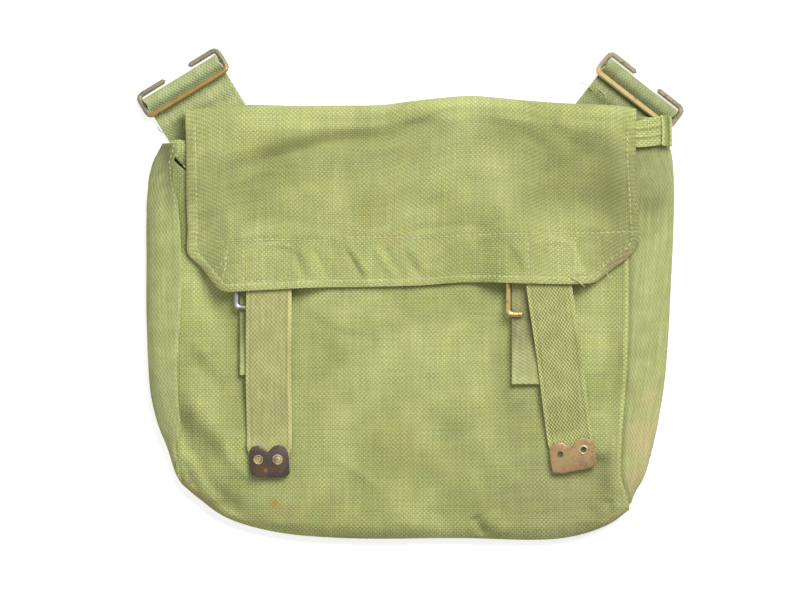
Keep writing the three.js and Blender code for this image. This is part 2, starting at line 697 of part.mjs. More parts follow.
function buckle(side, material) {
  const stack = buckleStack(side);
  const half = chapeWidth / 2 + webGap + buckleWire / 2;
  const length = buckleLength - buckleWire;
  const corners = [
    [-half + buckleStub, -length], [-half, -length], [-half, 0],
    [half, 0], [half, -length], [half - buckleStub, -length],
  ].map(([x, y]) => new THREE.Vector2(x, y));
  const mesh = addPiece(`buckle_${side.name}`, wire(corners, buckleCorner, buckleWire), material);
  const barZ = stack.under(stack.barY) + barOver;
  const footZ = stack.under(stack.footY) + footOver;
  mesh.position.set(stack.middle, stack.barY, barZ);
  mesh.rotation.x = Math.atan2(barZ - footZ, length);
}

// Straps with their brass tips
function strapAndTip(side) {
  const stack = buckleStack(side);
  const line = curveThrough(side.line);
  const end = line.getPoint(1);
  const way = line.getTangent(1).setZ(0).normalize();
  const across = new THREE.Vector3(-way.y, way.x, 0);
  const tipStart = end.clone().addScaledVector(way, -tipLength);
  const heightAt = (point) => {
    const pastFoot = smoothstep(stack.footY - point.y, buckleWire, buckleWire + strapFall);
    const pastChape = smoothstep(stack.endY - point.y, stackMargin, stackMargin + strapFall);
    const over = lerp(strapHigh, strapOverChape, pastFoot);
    return stack.under(point.y) + lerp(over, strapLow, pastChape);
  };
  const startZ = stack.under(tipStart.y) + strapAtTip;
  const endZ = stack.under(end.y + stackMargin) + strapAtTip;
  const rows = [];
  const steps = 22;
  const length = line.getLength();
  for (let i = 0; i <= steps; i += 1) {
    const share = i / steps * (1 - (tipLength + 2 * stackMargin) / length);
    const point = line.getPointAt(share);
    const tangent = line.getTangentAt(share).setZ(0).normalize();
    point.z = heightAt(point);
    rows.push({ point, across: new THREE.Vector3(-tangent.y, tangent.x, 0) });
  }
  const foldedIn = tipLength - tipPlate - seamGap;
  for (const along of [0, foldedIn / 2, foldedIn]) {
    const point = tipStart.clone().addScaledVector(way, along);
    point.z = lerp(startZ, endZ, along / tipLength);
    rows.push({ point, across });
  }
  addPiece(`strap_${side.name}`, strip(rows, strapWidth, strapThick), webTan);

  const lobeX = tipWidth / 4;
  const edge = tipWidth / 2;
  const shoulder = tipLength - tipLobe;
  const outline = new THREE.Shape();
  outline.moveTo(-edge, tipCorner);
  outline.quadraticCurveTo(-edge, 0, -edge + tipCorner, 0);
  outline.lineTo(edge - tipCorner, 0);
  outline.quadraticCurveTo(edge, 0, edge, tipCorner);
  outline.lineTo(edge, shoulder);
  outline.quadraticCurveTo(edge, tipLength, lobeX, tipLength);
  outline.quadraticCurveTo(tipPlate, tipLength, 0, shoulder - tipPlate);
  outline.quadraticCurveTo(-tipPlate, tipLength, -lobeX, tipLength);
  outline.quadraticCurveTo(-edge, tipLength, -edge, shoulder);
  const height = strapThick + 2 * seamGap + 2 * tipPlate;
  const block = new THREE.ExtrudeGeometry(outline, { depth: height, bevelEnabled: false, curveSegments: 4 });
  block.translate(0, 0, -height / 2);
  const slot = new THREE.BoxGeometry(2 * tipWidth, tipLength, strapThick + 2 * seamGap);
  slot.translate(0, tipLength / 2 + tipPlate, 0);
  let solid = solidOf(block).subtract(solidOf(slot));
  for (const x of [-lobeX, lobeX]) {
    const hole = new THREE.CylinderGeometry(tipHole / 2, tipHole / 2, height, 12);
    hole.rotateX(Math.PI / 2);
    hole.translate(x, shoulder - holeInset, height / 2);
    solid = solid.subtract(solidOf(hole));
  }
  const tip = addPiece(`strap_tip_${side.name}`, geometryOf(solid), brassDark);
  tip.rotation.order = 'ZXY';
  tip.rotation.set(-Math.atan2(endZ - startZ, tipLength), 0, Math.atan2(way.x, -way.y));
  tip.position.copy(end).setZ(endZ);
}

addPiece('back_and_flap', backAndFlap(), canvasGreen);
addPiece('front_panel', frontPanel(), canvasGreen);
addPiece('gusset', gusset(), webGreen);
for (const side of hookSides) {
  hook(side);
  tab(side);
}
for (const side of strapSides) {
  chape(side);
  buckle(side, side.name === 'left' ? steelGrey : brassBright);
  strapAndTip(side);
}

// The origin is under the middle of the whole bag, on the surface it lies on
const bounds = new THREE.Box3().setFromObject(bag, true);
const middle = bounds.getCenter(new THREE.Vector3());
bag.position.set(-middle.x, -middle.y, -bounds.min.z);

const haversack = new THREE.Group();
haversack.add(bag);

export default haversack;
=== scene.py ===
"""A small canvas haversack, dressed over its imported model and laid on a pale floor."""

import math

import bpy
import numpy as np
from mathutils import Matrix


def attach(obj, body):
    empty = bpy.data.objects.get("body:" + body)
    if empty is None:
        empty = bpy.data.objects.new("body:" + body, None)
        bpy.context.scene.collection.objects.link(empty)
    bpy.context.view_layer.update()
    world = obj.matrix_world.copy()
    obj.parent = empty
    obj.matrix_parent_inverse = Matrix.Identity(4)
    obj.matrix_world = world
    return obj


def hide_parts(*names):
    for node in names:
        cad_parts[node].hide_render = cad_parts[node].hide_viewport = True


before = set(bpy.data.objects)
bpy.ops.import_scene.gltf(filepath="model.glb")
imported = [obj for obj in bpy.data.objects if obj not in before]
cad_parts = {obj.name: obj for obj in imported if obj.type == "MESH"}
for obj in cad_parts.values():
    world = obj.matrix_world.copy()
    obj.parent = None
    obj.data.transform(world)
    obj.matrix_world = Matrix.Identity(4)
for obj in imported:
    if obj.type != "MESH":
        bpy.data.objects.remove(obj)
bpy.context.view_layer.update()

MM = 0.001
# Moves places on the bag, in millimetres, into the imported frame
SHIFT = np.array([0.922, -15.720, 0.0])

# Sizes of the pouch, in millimetres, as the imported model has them
HALF_WIDTH = 127.0
LENGTH = 242.0
WIDTH = 254.0
PANEL = 11.0
CANVAS = 1.2
WEB = 2.0
ROLL = 9.0
FOLD = 7.0
STRAP = 25.4
STRAP_THICK = 1.4
CHAPE = 24.4
CHAPE_THICK = 1.4
SEAM_GAP = 0.3
LAY_GAP = 0.9
LAP_GAP = 0.8
WEB_GAP = 0.45
FOLD_LIFT = 3.0
UNDER_FLAP = 1.5

# Places are read off a chart of 0.56 mm squares, counted right and down from its upper left corner.
SQUARE = 0.56


def chart(points):
    """Chart places as millimetres on the bag."""
    spots = np.atleast_2d(np.asarray(points, float))
    return np.column_stack([(spots[:, 0] - 412) * SQUARE, (321.5 - spots[:, 1]) * SQUARE])


def shares(points):
    """Places in half widths across and lengths down, as millimetres on the bag."""
    spots = np.atleast_2d(np.asarray(points, float))
    return np.column_stack([spots[:, 0] * HALF_WIDTH, LENGTH * (0.5 - spots[:, 1])])


def in_metres(place):
    """A place on the bag, in millimetres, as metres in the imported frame."""
    return (np.asarray(place, float) + SHIFT) * MM


def smooth(value, low, high):
    """0 below low, 1 above high and an eased step between them."""
    part = np.clip((value - low) / (high - low), 0, 1)
    return part * part * (3 - 2 * part)


def blend(a, b, share):
    """A value between two others."""
    return a + (b - a) * share


class Line:
    """A smooth line through knots, read by its own share or by its length."""

    def __init__(self, knots):
        knots = np.asarray(knots, float)
        if knots.shape[1] == 2:
            knots = np.column_stack([knots, np.zeros(len(knots))])
        ends = np.vstack([2 * knots[0] - knots[1], knots, 2 * knots[-1] - knots[-2]])
        self.t = np.linspace(0, 1, 16 * (len(knots) - 1) + 1)
        place = self.t * (len(knots) - 1)
        index = np.minimum(place.astype(int), len(knots) - 2)
        part = (place - index)[:, None]
        a, b, c, d = (ends[index + k] for k in range(4))
        before, between, after = (
            np.maximum(((q - p) ** 2).sum(axis=1), 1e-12)[:, None] ** 0.25
            for p, q in ((a, b), (b, c), (c, d))
        )
        leave = ((b - a) / before - (c - a) / (before + between) + (c - b) / between) * between
        reach = ((c - b) / between - (d - b) / (between + after) + (d - c) / after) * between
        square = -3 * b + 3 * c - 2 * leave - reach
        cube = 2 * b - 2 * c + leave + reach
        self.points = b + leave * part + square * part**2 + cube * part**3
        steps = np.linalg.norm(np.diff(self.points, axis=0), axis=1)
        self.run = np.concatenate([[0], np.cumsum(steps)])
        self.length = self.run[-1]

    def at(self, t):
        return np.column_stack([np.interp(t, self.t, self.points[:, k]) for k in range(3)])

    def share_at(self, u):
        return np.interp(u, self.run / self.length, self.t)

    def along(self, u):
        return self.at(self.share_at(u))

    def way(self, t):
        """The line's own direction, as a step of length 1."""
        gap = 0.004
        step = self.at(np.clip(t + gap, 0, 1)) - self.at(np.clip(t - gap, 0, 1))
        return step / np.linalg.norm(step, axis=1)[:, None]


def from_line(line, x, y):
    """Distance of places from a line, its share at the nearest point, and on which side they lie."""
    points = line.points[:, :2]
    start = points[:-1]
    step = np.diff(points, axis=0)
    square = np.maximum((step**2).sum(axis=1), 1e-12)
    x = np.ravel(x)
    y = np.ravel(y)
    distance = np.empty(len(x))
    share = np.empty(len(x))
    side = np.empty(len(x))
    for first in range(0, len(x), 4000):
        part = slice(first, first + 4000)
        right = x[part, None] - start[:, 0]
        up = y[part, None] - start[:, 1]
        foot = np.clip((right * step[:, 0] + up * step[:, 1]) / square, 0, 1)
        gap = (right - foot * step[:, 0]) ** 2 + (up - foot * step[:, 1]) ** 2
        best = gap.argmin(axis=1)
        rows = np.arange(len(best))
        distance[part] = np.sqrt(gap[rows, best])
        span = line.t[best + 1] - line.t[best]
        share[part] = line.t[best] + foot[rows, best] * span
        side[part] = step[best, 0] * up[rows, best] - step[best, 1] * right[rows, best]
    return distance, share, side


# The run of the gusset from the left end of the mouth, down, round the bottom and up to the right
# end: the front panel's edge, the strip's outermost fold and its line on the back, then how far the
# strip lies over the panel's edge, and the height of that edge in panel heights.
RUN = np.array([
    [-1.090, 0.105, -1.110, 0.105, -0.945, 0.085, 1.0, 0.80],
    [-1.098, 0.150, -1.142, 0.140, -0.945, 0.130, 1.0, 0.80],
    [-1.073, 0.220, -1.162, 0.220, -0.945, 0.220, 1.0, 0.82],
    [-1.054, 0.350, -1.164, 0.350, -0.945, 0.350, 1.0, 0.84],
    [-1.058, 0.480, -1.164, 0.480, -0.945, 0.480, 1.0, 0.84],
    [-1.072, 0.580, -1.158, 0.580, -0.945, 0.580, 1.0, 0.84],
    [-1.070, 0.673, -1.144, 0.673, -0.940, 0.670, 1.0, 0.82],
    [-1.058, 0.735, -1.115, 0.735, -0.925, 0.730, 1.0, 0.78],
    [-1.040, 0.800, -1.067, 0.800, -0.900, 0.780, 0.4, 0.70],
    [-1.022, 0.850, -1.038, 0.850, -0.870, 0.810, -0.4, 0.62],
    [-1.008, 0.876, -1.010, 0.876, -0.840, 0.830, -1.0, 0.58],
    [-0.940, 0.908, -0.930, 0.900, -0.800, 0.845, -1.0, 0.56],
    [-0.820, 0.952, -0.810, 0.945, -0.720, 0.860, -1.0, 0.55],
    [-0.610, 0.985, -0.610, 0.979, -0.550, 0.870, -1.0, 0.55],
    [-0.300, 1.000, -0.300, 0.993, -0.290, 0.872, -1.0, 0.55],
    [0.200, 1.000, 0.200, 0.993, 0.200, 0.872, -1.0, 0.55],
    [0.666, 1.000, 0.660, 0.993, 0.640, 0.872, -1.0, 0.55],
    [0.860, 0.970, 0.850, 0.963, 0.790, 0.865, -1.0, 0.55],
    [0.957, 0.935, 0.955, 0.925, 0.870, 0.850, -1.0, 0.58],
    [0.945, 0.905, 0.980, 0.895, 0.920, 0.820, -1.0, 0.66],
    [0.920, 0.860, 1.018, 0.860, 0.965, 0.790, -1.0, 0.76],
    [0.919, 0.800, 1.052, 0.800, 0.990, 0.750, -1.0, 0.84],
    [0.929, 0.720, 1.085, 0.720, 1.005, 0.690, -1.0, 0.90],
    [0.942, 0.630, 1.110, 0.630, 1.010, 0.610, -1.0, 0.92],
    [0.950, 0.530, 1.125, 0.530, 1.010, 0.520, -1.0, 0.92],
    [0.952, 0.420, 1.137, 0.420, 1.010, 0.410, -1.0, 0.92],
    [0.952, 0.300, 1.147, 0.300, 1.010, 0.290, -1.0, 0.92],
    [0.952, 0.200, 1.150, 0.200, 1.010, 0.190, -1.0, 0.92],
    [0.952, 0.130, 1.143, 0.120, 1.008, 0.100, -1.0, 0.92],
    [0.952, 0.105, 1.125, 0.075, 1.000, 0.055, -1.0, 0.92],
    [0.952, 0.095, 1.115, 0.030, 0.985, 0.027, -1.0, 0.92],
])
LEFT_CORNER = 10
RIGHT_CORNER = 18

RIM = Line(shares(RUN[:, 0:2]))
OUTER = Line(shares(RUN[:, 2:4]))
BACK = Line(shares(RUN[:, 4:6]))
MOUTH = Line(shares([
    [-1.09, 0.105], [-0.98, 0.154], [-0.49, 0.163], [0, 0.154], [0.48, 0.125], [0.952, 0.095],
]))
KNOT_SHARES = np.linspace(0, 1, len(RUN))

# Broad dents that the solids have too: the middle as shares, the reach along and across in
# widths, the turn in degrees and the lift in panel heights.
PANEL_DENTS = [
    (-0.657, 0.420, 0.16, 0.13, 0, -0.30),
    (0.570, 0.435, 0.17, 0.13, 0, -0.30),
    (-0.880, 0.800, 0.11, 0.03, -62, -0.13),
    (-0.760, 0.780, 0.13, 0.05, -60, 0.10),
    (0.780, 0.880, 0.10, 0.05, 60, -0.10),
    (0.050, 0.700, 0.30, 0.20, 10, 0.08),
    (0.675, 0.140, 0.18, 0.050, 23, -0.16),
    (-0.770, 0.255, 0.07, 0.030, 25, -0.07),
]
FLAP_DENTS = [
    (-0.317, 0.070, 0.20, 0.035, 16, -0.15),
    (0.278, 0.030, 0.17, 0.070, 4, 0.22),
]


def dent_height(rows, x, y):
    """Height of the broad dents at places on the bag."""
    lift = np.zeros(np.shape(x))
    for across, down, long, wide, degrees, share in rows:
        middle = shares([[across, down]])[0]
        turn = math.radians(degrees)
        along = (x - middle[0]) * math.cos(turn) + (y - middle[1]) * math.sin(turn)
        beside = (y - middle[1]) * math.cos(turn) - (x - middle[0]) * math.sin(turn)
        lift += share * PANEL * np.exp(-((along / long) ** 2 + (beside / wide) ** 2) / WIDTH**2)
    return lift


def panel_mid(x, y):
    """Height of the front panel's middle surface."""
    shape = np.shape(x)
    distance, share, side = from_line(RIM, x, y)
    inside = np.where(side < 0, 0, np.clip(distance / ROLL, 0, 1))
    rise = np.interp(share, KNOT_SHARES, RUN[:, 7])
    swell = rise + (1 - rise) * inside * (2 - inside)
    height = PANEL * swell + inside * dent_height(PANEL_DENTS, np.ravel(x), np.ravel(y))
    return height.reshape(shape)


def panel_under(from_x, to_x, y):
    """Highest point of the front panel's middle surface along short lines across the bag."""
    y = np.atleast_1d(np.asarray(y, float))
    across = np.linspace(from_x, to_x, 7)[:, None] + np.zeros(len(y))
    return panel_mid(across, np.broadcast_to(y, across.shape)).max(axis=0)


# Heights of what is stacked on the front panel, over its middle surface
WIRE = 2.8
BUCKLE_LENGTH = 29.0
MARGIN = 2.0
CHAPE_LOW = CANVAS / 2 + WEB_GAP + CHAPE_THICK / 2
LOOP = WIRE / 2 + SEAM_GAP + CHAPE_THICK / 2
BAR_OVER = CHAPE_LOW + LOOP
CHAPE_HIGH = CHAPE_LOW + CHAPE_THICK + SEAM_GAP
FOOT_OVER = CHAPE_HIGH + CHAPE_THICK / 2 + SEAM_GAP + WIRE / 2
LOOP_TOP = BAR_OVER + LOOP + CHAPE_THICK / 2
STRAP_HIGH = max(LOOP_TOP, FOOT_OVER + WIRE / 2) + SEAM_GAP + STRAP_THICK / 2
TIP_PLATE = 0.8
STRAP_LOW = CANVAS / 2 + WEB_GAP + STRAP_THICK / 2
STRAP_AT_TIP = CANVAS / 2 + WEB_GAP + TIP_PLATE + SEAM_GAP + STRAP_THICK / 2
STRAP_OVER_CHAPE = CHAPE_HIGH + CHAPE_THICK / 2 + SEAM_GAP + STRAP_THICK / 2
FLAP_OVER = CANVAS + LAY_GAP
FLAP_OVER_STRAP = STRAP_HIGH + STRAP_THICK / 2 + WEB_GAP + CANVAS / 2

# Tabs and hooks
HOOK_LENGTH = 54.5
HOOK_DEPTH = 17.2
HOOK_WIRE = 3.2
HOOK_OUT = HOOK_DEPTH - HOOK_WIRE
TAB_LOW = WEB / 2
TAB_LOOP = HOOK_WIRE / 2 + SEAM_GAP + WEB / 2
MID_BAR = TAB_LOW + TAB_LOOP
TAB_HIGH = TAB_LOW + WEB + SEAM_GAP
LONG_BAR = TAB_HIGH + WEB / 2 + SEAM_GAP + HOOK_WIRE / 2
HOOK_TILT = math.asin((LONG_BAR - MID_BAR) / (HOOK_OUT / 2))
LONG_ALONG = -HOOK_OUT / 2 * math.cos(HOOK_TILT)
TAB_WIDTH = HOOK_LENGTH - 2 * HOOK_WIRE - 2 * SEAM_GAP
DOUBLE_END = LONG_ALONG - HOOK_WIRE / 2 - 7
TAB_REACH = 52.0
# The middle of each hook as shares, and its turn in degrees
HOOKS = {"left": ((-1.012, -0.053), 31.5), "right": ((1.007, -0.036), -38.2)}


def ground_top(x, y):
    """Height of the tabs and hooks, with the gap that cloth keeps over them."""
    margin, fade = 7, 10
    top = np.zeros(np.shape(x))
    for at, degrees in HOOKS.values():
        middle = shares([at])[0]
        turn = math.radians(degrees)
        beside = abs((x - middle[0]) * math.cos(turn) + (y - middle[1]) * math.sin(turn))
        along = (y - middle[1]) * math.cos(turn) - (x - middle[0]) * math.sin(turn)
        side_end = HOOK_LENGTH / 2 + margin
        on_tab = 1 - smooth(beside, side_end, side_end + fade)
        started = smooth(along, -TAB_REACH - margin - fade, -TAB_REACH - margin)
        folded = smooth(along, DOUBLE_END - margin - fade / 2, DOUBLE_END - margin / 2)
        barred = smooth(along, LONG_ALONG - HOOK_WIRE - margin, LONG_ALONG - HOOK_WIRE / 2)
        height = started * (WEB + LAY_GAP) + folded * (WEB + SEAM_GAP)
        height += barred * (HOOK_WIRE + SEAM_GAP)
        top = np.maximum(top, on_tab * height)
    return top


# What the flap covers at a strap: how far it reaches to the right, and over what width it fades
COVER_RIGHT = 16.5
COVER_FADE = 22.0


class Side:
    """One strap with the chape and buckle under it."""

    def __init__(self, name, chape_across, chape_end, buckle_foot, line):
        self.name = name
        self.knots = line
        self.line = Line(shares(line))
        self.middle = chape_across * HALF_WIDTH
        self.left = min(self.middle, line[0][0] * HALF_WIDTH) - CHAPE / 2 - 2 * MARGIN
        self.right = max(self.middle, line[-1][0] * HALF_WIDTH) + STRAP / 2 + MARGIN
        self.foot = LENGTH * (0.5 - buckle_foot) + WIRE / 2
        self.bar = self.foot + BUCKLE_LENGTH - WIRE
        self.end = LENGTH * (0.5 - chape_end)
        self.under_flap = (line[1][0] * 2 * HALF_WIDTH + self.middle) / 3
        self.covered = CHAPE / 2 + WEB_GAP + WIRE + 2 * MARGIN

    def outside(self, x):
        """How far places lie to the side of what the flap covers here."""
        right = x - self.under_flap
        return np.maximum(np.maximum(right - COVER_RIGHT, -right - self.covered), 0)

    def under(self, y):
        """Highest point of the front panel's middle surface under the strap."""
        return panel_under(self.left, self.right, y)


LEFT = Side("left", -0.662, 0.624, 0.474, [
    (-0.6305, 0.322), (-0.629, 0.43), (-0.632, 0.60), (-0.628, 0.73), (-0.628, 0.861),
])
RIGHT = Side("right", 0.534, 0.645, 0.490, [
    (0.583, 0.316), (0.601, 0.414), (0.650, 0.59), (0.676, 0.70), (0.716, 0.846),
])
SIDES = (LEFT, RIGHT)


def flap_mid(x, y):
    """Height of the flap's middle surface."""
    shape = np.shape(x)
    x = np.ravel(x)
    y = np.ravel(y)
    down = 0.5 - y / LENGTH
    height = panel_mid(x, y) + FLAP_OVER + FOLD_LIFT * (1 - smooth(down, 0, 0.18))
    height += dent_height(FLAP_DENTS, x, y)
    for side in SIDES:
        beside = 1 - smooth(side.outside(x), 0, COVER_FADE)
        start = side.knots[0][1]
        rise = smooth(down, start - 0.16, start - 0.02)
        needed = side.under(y) + FLAP_OVER_STRAP
        height = blend(height, np.maximum(height, needed), beside * rise)
    return height.reshape(shape)


def patch(top, bottom, left, right, u, v):
    """A grid between four edge lines, rows from top to bottom."""
    a = top.along(u)[None, :, :]
    b = bottom.along(u)[None, :, :]
    c = left.along(v)[:, None, :]
    d = right.along(v)[:, None, :]
    across = u[None, :, None]
    down = v[:, None, None]
    corners = (
        top.points[0] * (1 - across) * (1 - down) + top.points[-1] * across * (1 - down)
        + bottom.points[0] * (1 - across) * down + bottom.points[-1] * across * down
    )
    return a * (1 - down) + b * down + c * (1 - across) + d * across - corners


def even(count):
    """Shares from 0 to 1 at an even step."""
    return np.linspace(0, 1, count)


def spaced(count, *closer):
    """Shares from 0 to 1, with the grid drawn closer round some of them."""
    fine = np.linspace(0, 1, 2001)
    weight = np.ones(2001)
    for middle, reach, gain in closer:
        weight += gain * np.exp(-(((fine - middle) / reach) ** 2))
    total = np.concatenate([[0], np.cumsum((weight[1:] + weight[:-1]) / 2)])
    return np.interp(np.linspace(0, 1, count), total / total[-1], fine)


def resting(names, x, y, reach=1.6):
    """Height of the upper face of what lies at each place, from the sheets that are named."""
    found = []
    for name in names:
        points, half = LAID[name]
        flat = points.reshape(-1, 3)
        around = Line(np.column_stack([np.ravel(x), np.ravel(y)]))
        inside = close_to(around, flat[:, 0], flat[:, 1], 4)
        found.append(flat[inside] + [0, 0, half])
    found = np.vstack(found)
    gap = (np.ravel(x)[:, None] - found[:, 0]) ** 2 + (np.ravel(y)[:, None] - found[:, 1]) ** 2
    height = np.where(gap < reach**2, found[:, 2], -1.0).max(axis=1)
    nearest = found[gap.argmin(axis=1), 2]
    return np.where(height < 0, nearest, height).reshape(np.shape(x))


# Mesh making
def only(piece):
    """Selects one piece and makes it active."""
    bpy.ops.object.select_all(action="DESELECT")
    piece.select_set(True)
    bpy.context.view_layer.objects.active = piece


def made(name):
    """The piece that the last operator made, under its own name."""
    piece = bpy.context.object
    piece.name = name
    piece.data.name = name
    return piece


def round_edges(piece, degrees, width, segments):
    """Rounds the edges that turn more than an angle, and applies all that the piece carries."""
    rounded = piece.modifiers.new("rounded", "BEVEL")
    rounded.limit_method = "ANGLE"
    rounded.angle_limit = math.radians(degrees)
    rounded.width = width * MM
    rounded.segments = segments
    only(piece)
    for modifier in list(piece.modifiers):
        bpy.ops.object.modifier_apply(modifier=modifier.name)


# The sheets made so far: the middle surface of each and half its thickness
LAID = {}


def cloth(name, points, uv, thick, marks, edge=0.3):
    """A closed sheet about a grid of points in millimetres, with its thickness, the painted values
    for its material and the rounding of its edges."""
    rows, columns = points.shape[:2]
    LAID[name] = (points, thick / 2)
    bpy.ops.object.select_all(action="DESELECT")
    bpy.ops.mesh.primitive_grid_add(x_subdivisions=columns - 1, y_subdivisions=rows - 1, size=1)
    piece = made(name)
    mesh = piece.data
    mesh.vertices.foreach_set("co", in_metres(points).reshape(-1))
    at = np.empty(len(mesh.loops), dtype=np.int32)
    mesh.loops.foreach_get("vertex_index", at)
    flat = (uv * MM).reshape(-1, 2)
    mesh.uv_layers[0].name = "cut"
    mesh.uv_layers[0].data.foreach_set("uv", flat[at].reshape(-1))
    for key, value in marks.items():
        layer = mesh.attributes.new(key, "FLOAT", "POINT")
        layer.data.foreach_set("value", np.ravel(value).astype(np.float32))
    mesh.update()
    solid = piece.modifiers.new("thickness", "SOLIDIFY")
    solid.thickness = thick * MM
    solid.offset = 0
    round_edges(piece, 55, edge, 2)
    bpy.ops.object.shade_smooth_by_angle(angle=math.radians(50))
    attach(piece, "root")
    return piece


# Folds and creases: the height of each in millimetres, its half width on the left and on the
# right of the line, and the line on the chart. Each fades out at its ends.
FLAP_FOLDS = [
    (-3.25, 6.0, 4.2, [
        (234, 170), (266, 157), (292, 148), (326, 141), (360, 136), (400, 131), (424, 121),
        (446, 110),
    ]),
    (2.47, 9.0, 7.0, [(192, 162), (240, 146), (285, 132), (330, 124), (380, 119), (410, 114)]),
    (1.30, 5.0, 7.0, [(300, 150), (350, 143), (400, 138), (450, 126)]),
    (-1.17, 4.0, 5.5, [(194, 224), (212, 214), (236, 210), (250, 212)]),
    (1.30, 3.2, 4.5, [(214, 228), (240, 213), (270, 201), (300, 190), (330, 184)]),
    (-1.30, 4.5, 4.5, [(240, 226), (262, 219), (290, 217), (315, 222)]),
    (0.78, 4.0, 4.0, [(225, 236), (262, 229), (300, 232), (330, 226)]),
    (2.21, 11.0, 9.0, [(430, 111), (462, 104), (492, 104), (520, 110), (545, 118)]),
    (-1.82, 6.0, 8.0, [(452, 116), (485, 113), (515, 124), (545, 142), (560, 150)]),
    (-2.73, 11.0, 9.0, [
        (636, 158), (612, 152), (590, 150), (566, 160), (540, 172), (514, 190), (500, 202),
    ]),
    (1.43, 8.0, 8.0, [(636, 132), (600, 124), (575, 118), (552, 122)]),
    (-1.17, 5.0, 5.0, [(548, 124), (566, 132), (582, 146)]),
    (1.30, 9.0, 9.0, [(470, 150), (495, 165), (510, 172)]),
    (1.17, 10.0, 9.0, [(560, 190), (585, 178), (612, 180)]),
    (-1.04, 7.0, 7.0, [(600, 222), (612, 205), (622, 190), (630, 170)]),
    (0.91, 7.0, 7.0, [(350, 176), (390, 184), (430, 180), (470, 190)]),
    (-0.91, 6.0, 6.0, [(340, 158), (352, 178), (350, 200), (356, 226)]),
    (-0.78, 9.0, 9.0, [(400, 200), (440, 206), (480, 214), (520, 212)]),
    (0.78, 6.0, 6.0, [(300, 160), (310, 178), (330, 200), (338, 222)]),
    (0.73, 2.2, 2.2, [(225, 190), (260, 172), (282, 166)]),
    (-0.65, 2.2, 2.2, [(392, 232), (430, 226), (470, 224), (500, 228)]),
]
BAND_PUCKERS = [
    (-0.92, 2.0, 1.6, [(293, 243), (299, 262), (307, 283)]),
    (0.96, 1.8, 2.4, [(300, 242), (308, 258), (318, 280)]),
    (-1.04, 1.8, 1.8, [(312, 243), (321, 260), (330, 282)]),
    (0.57, 2.2, 2.2, [(325, 244), (335, 262), (343, 280)]),
    (-0.96, 1.8, 1.8, [(345, 243), (354, 260), (366, 281)]),
    (1.05, 2.0, 2.2, [(350, 242), (360, 258), (372, 278)]),
    (0.88, 2.0, 2.4, [(376, 242), (384, 258), (396, 277)]),
    (-0.82, 2.0, 2.0, [(384, 243), (392, 256), (402, 275)]),
    (-0.78, 2.2, 2.2, [(404, 244), (412, 262), (424, 278)]),
    (0.78, 2.2, 2.2, [(414, 244), (420, 258), (432, 274)]),
    (0.59, 2.4, 2.4, [(440, 244), (434, 258), (430, 272)]),
    (-0.65, 2.4, 2.4, [(452, 242), (446, 256), (440, 274)]),
    (0.59, 2.4, 2.4, [(474, 240), (478, 256), (476, 274)]),
    (-0.78, 2.4, 2.0, [(504, 238), (512, 252), (520, 276)]),
    (0.69, 2.0, 2.4, [(512, 238), (522, 254), (528, 272)]),
    (-0.92, 2.4, 2.0, [(576, 238), (580, 256), (584, 272)]),
    (0.82, 2.0, 2.4, [(588, 238), (591, 252), (594, 266)]),
    (-0.69, 2.0, 2.0, [(233, 246), (232, 262), (230, 280)]),
    (0.55, 1.6, 1.6, [(254, 246), (256, 262), (255, 280)]),
]
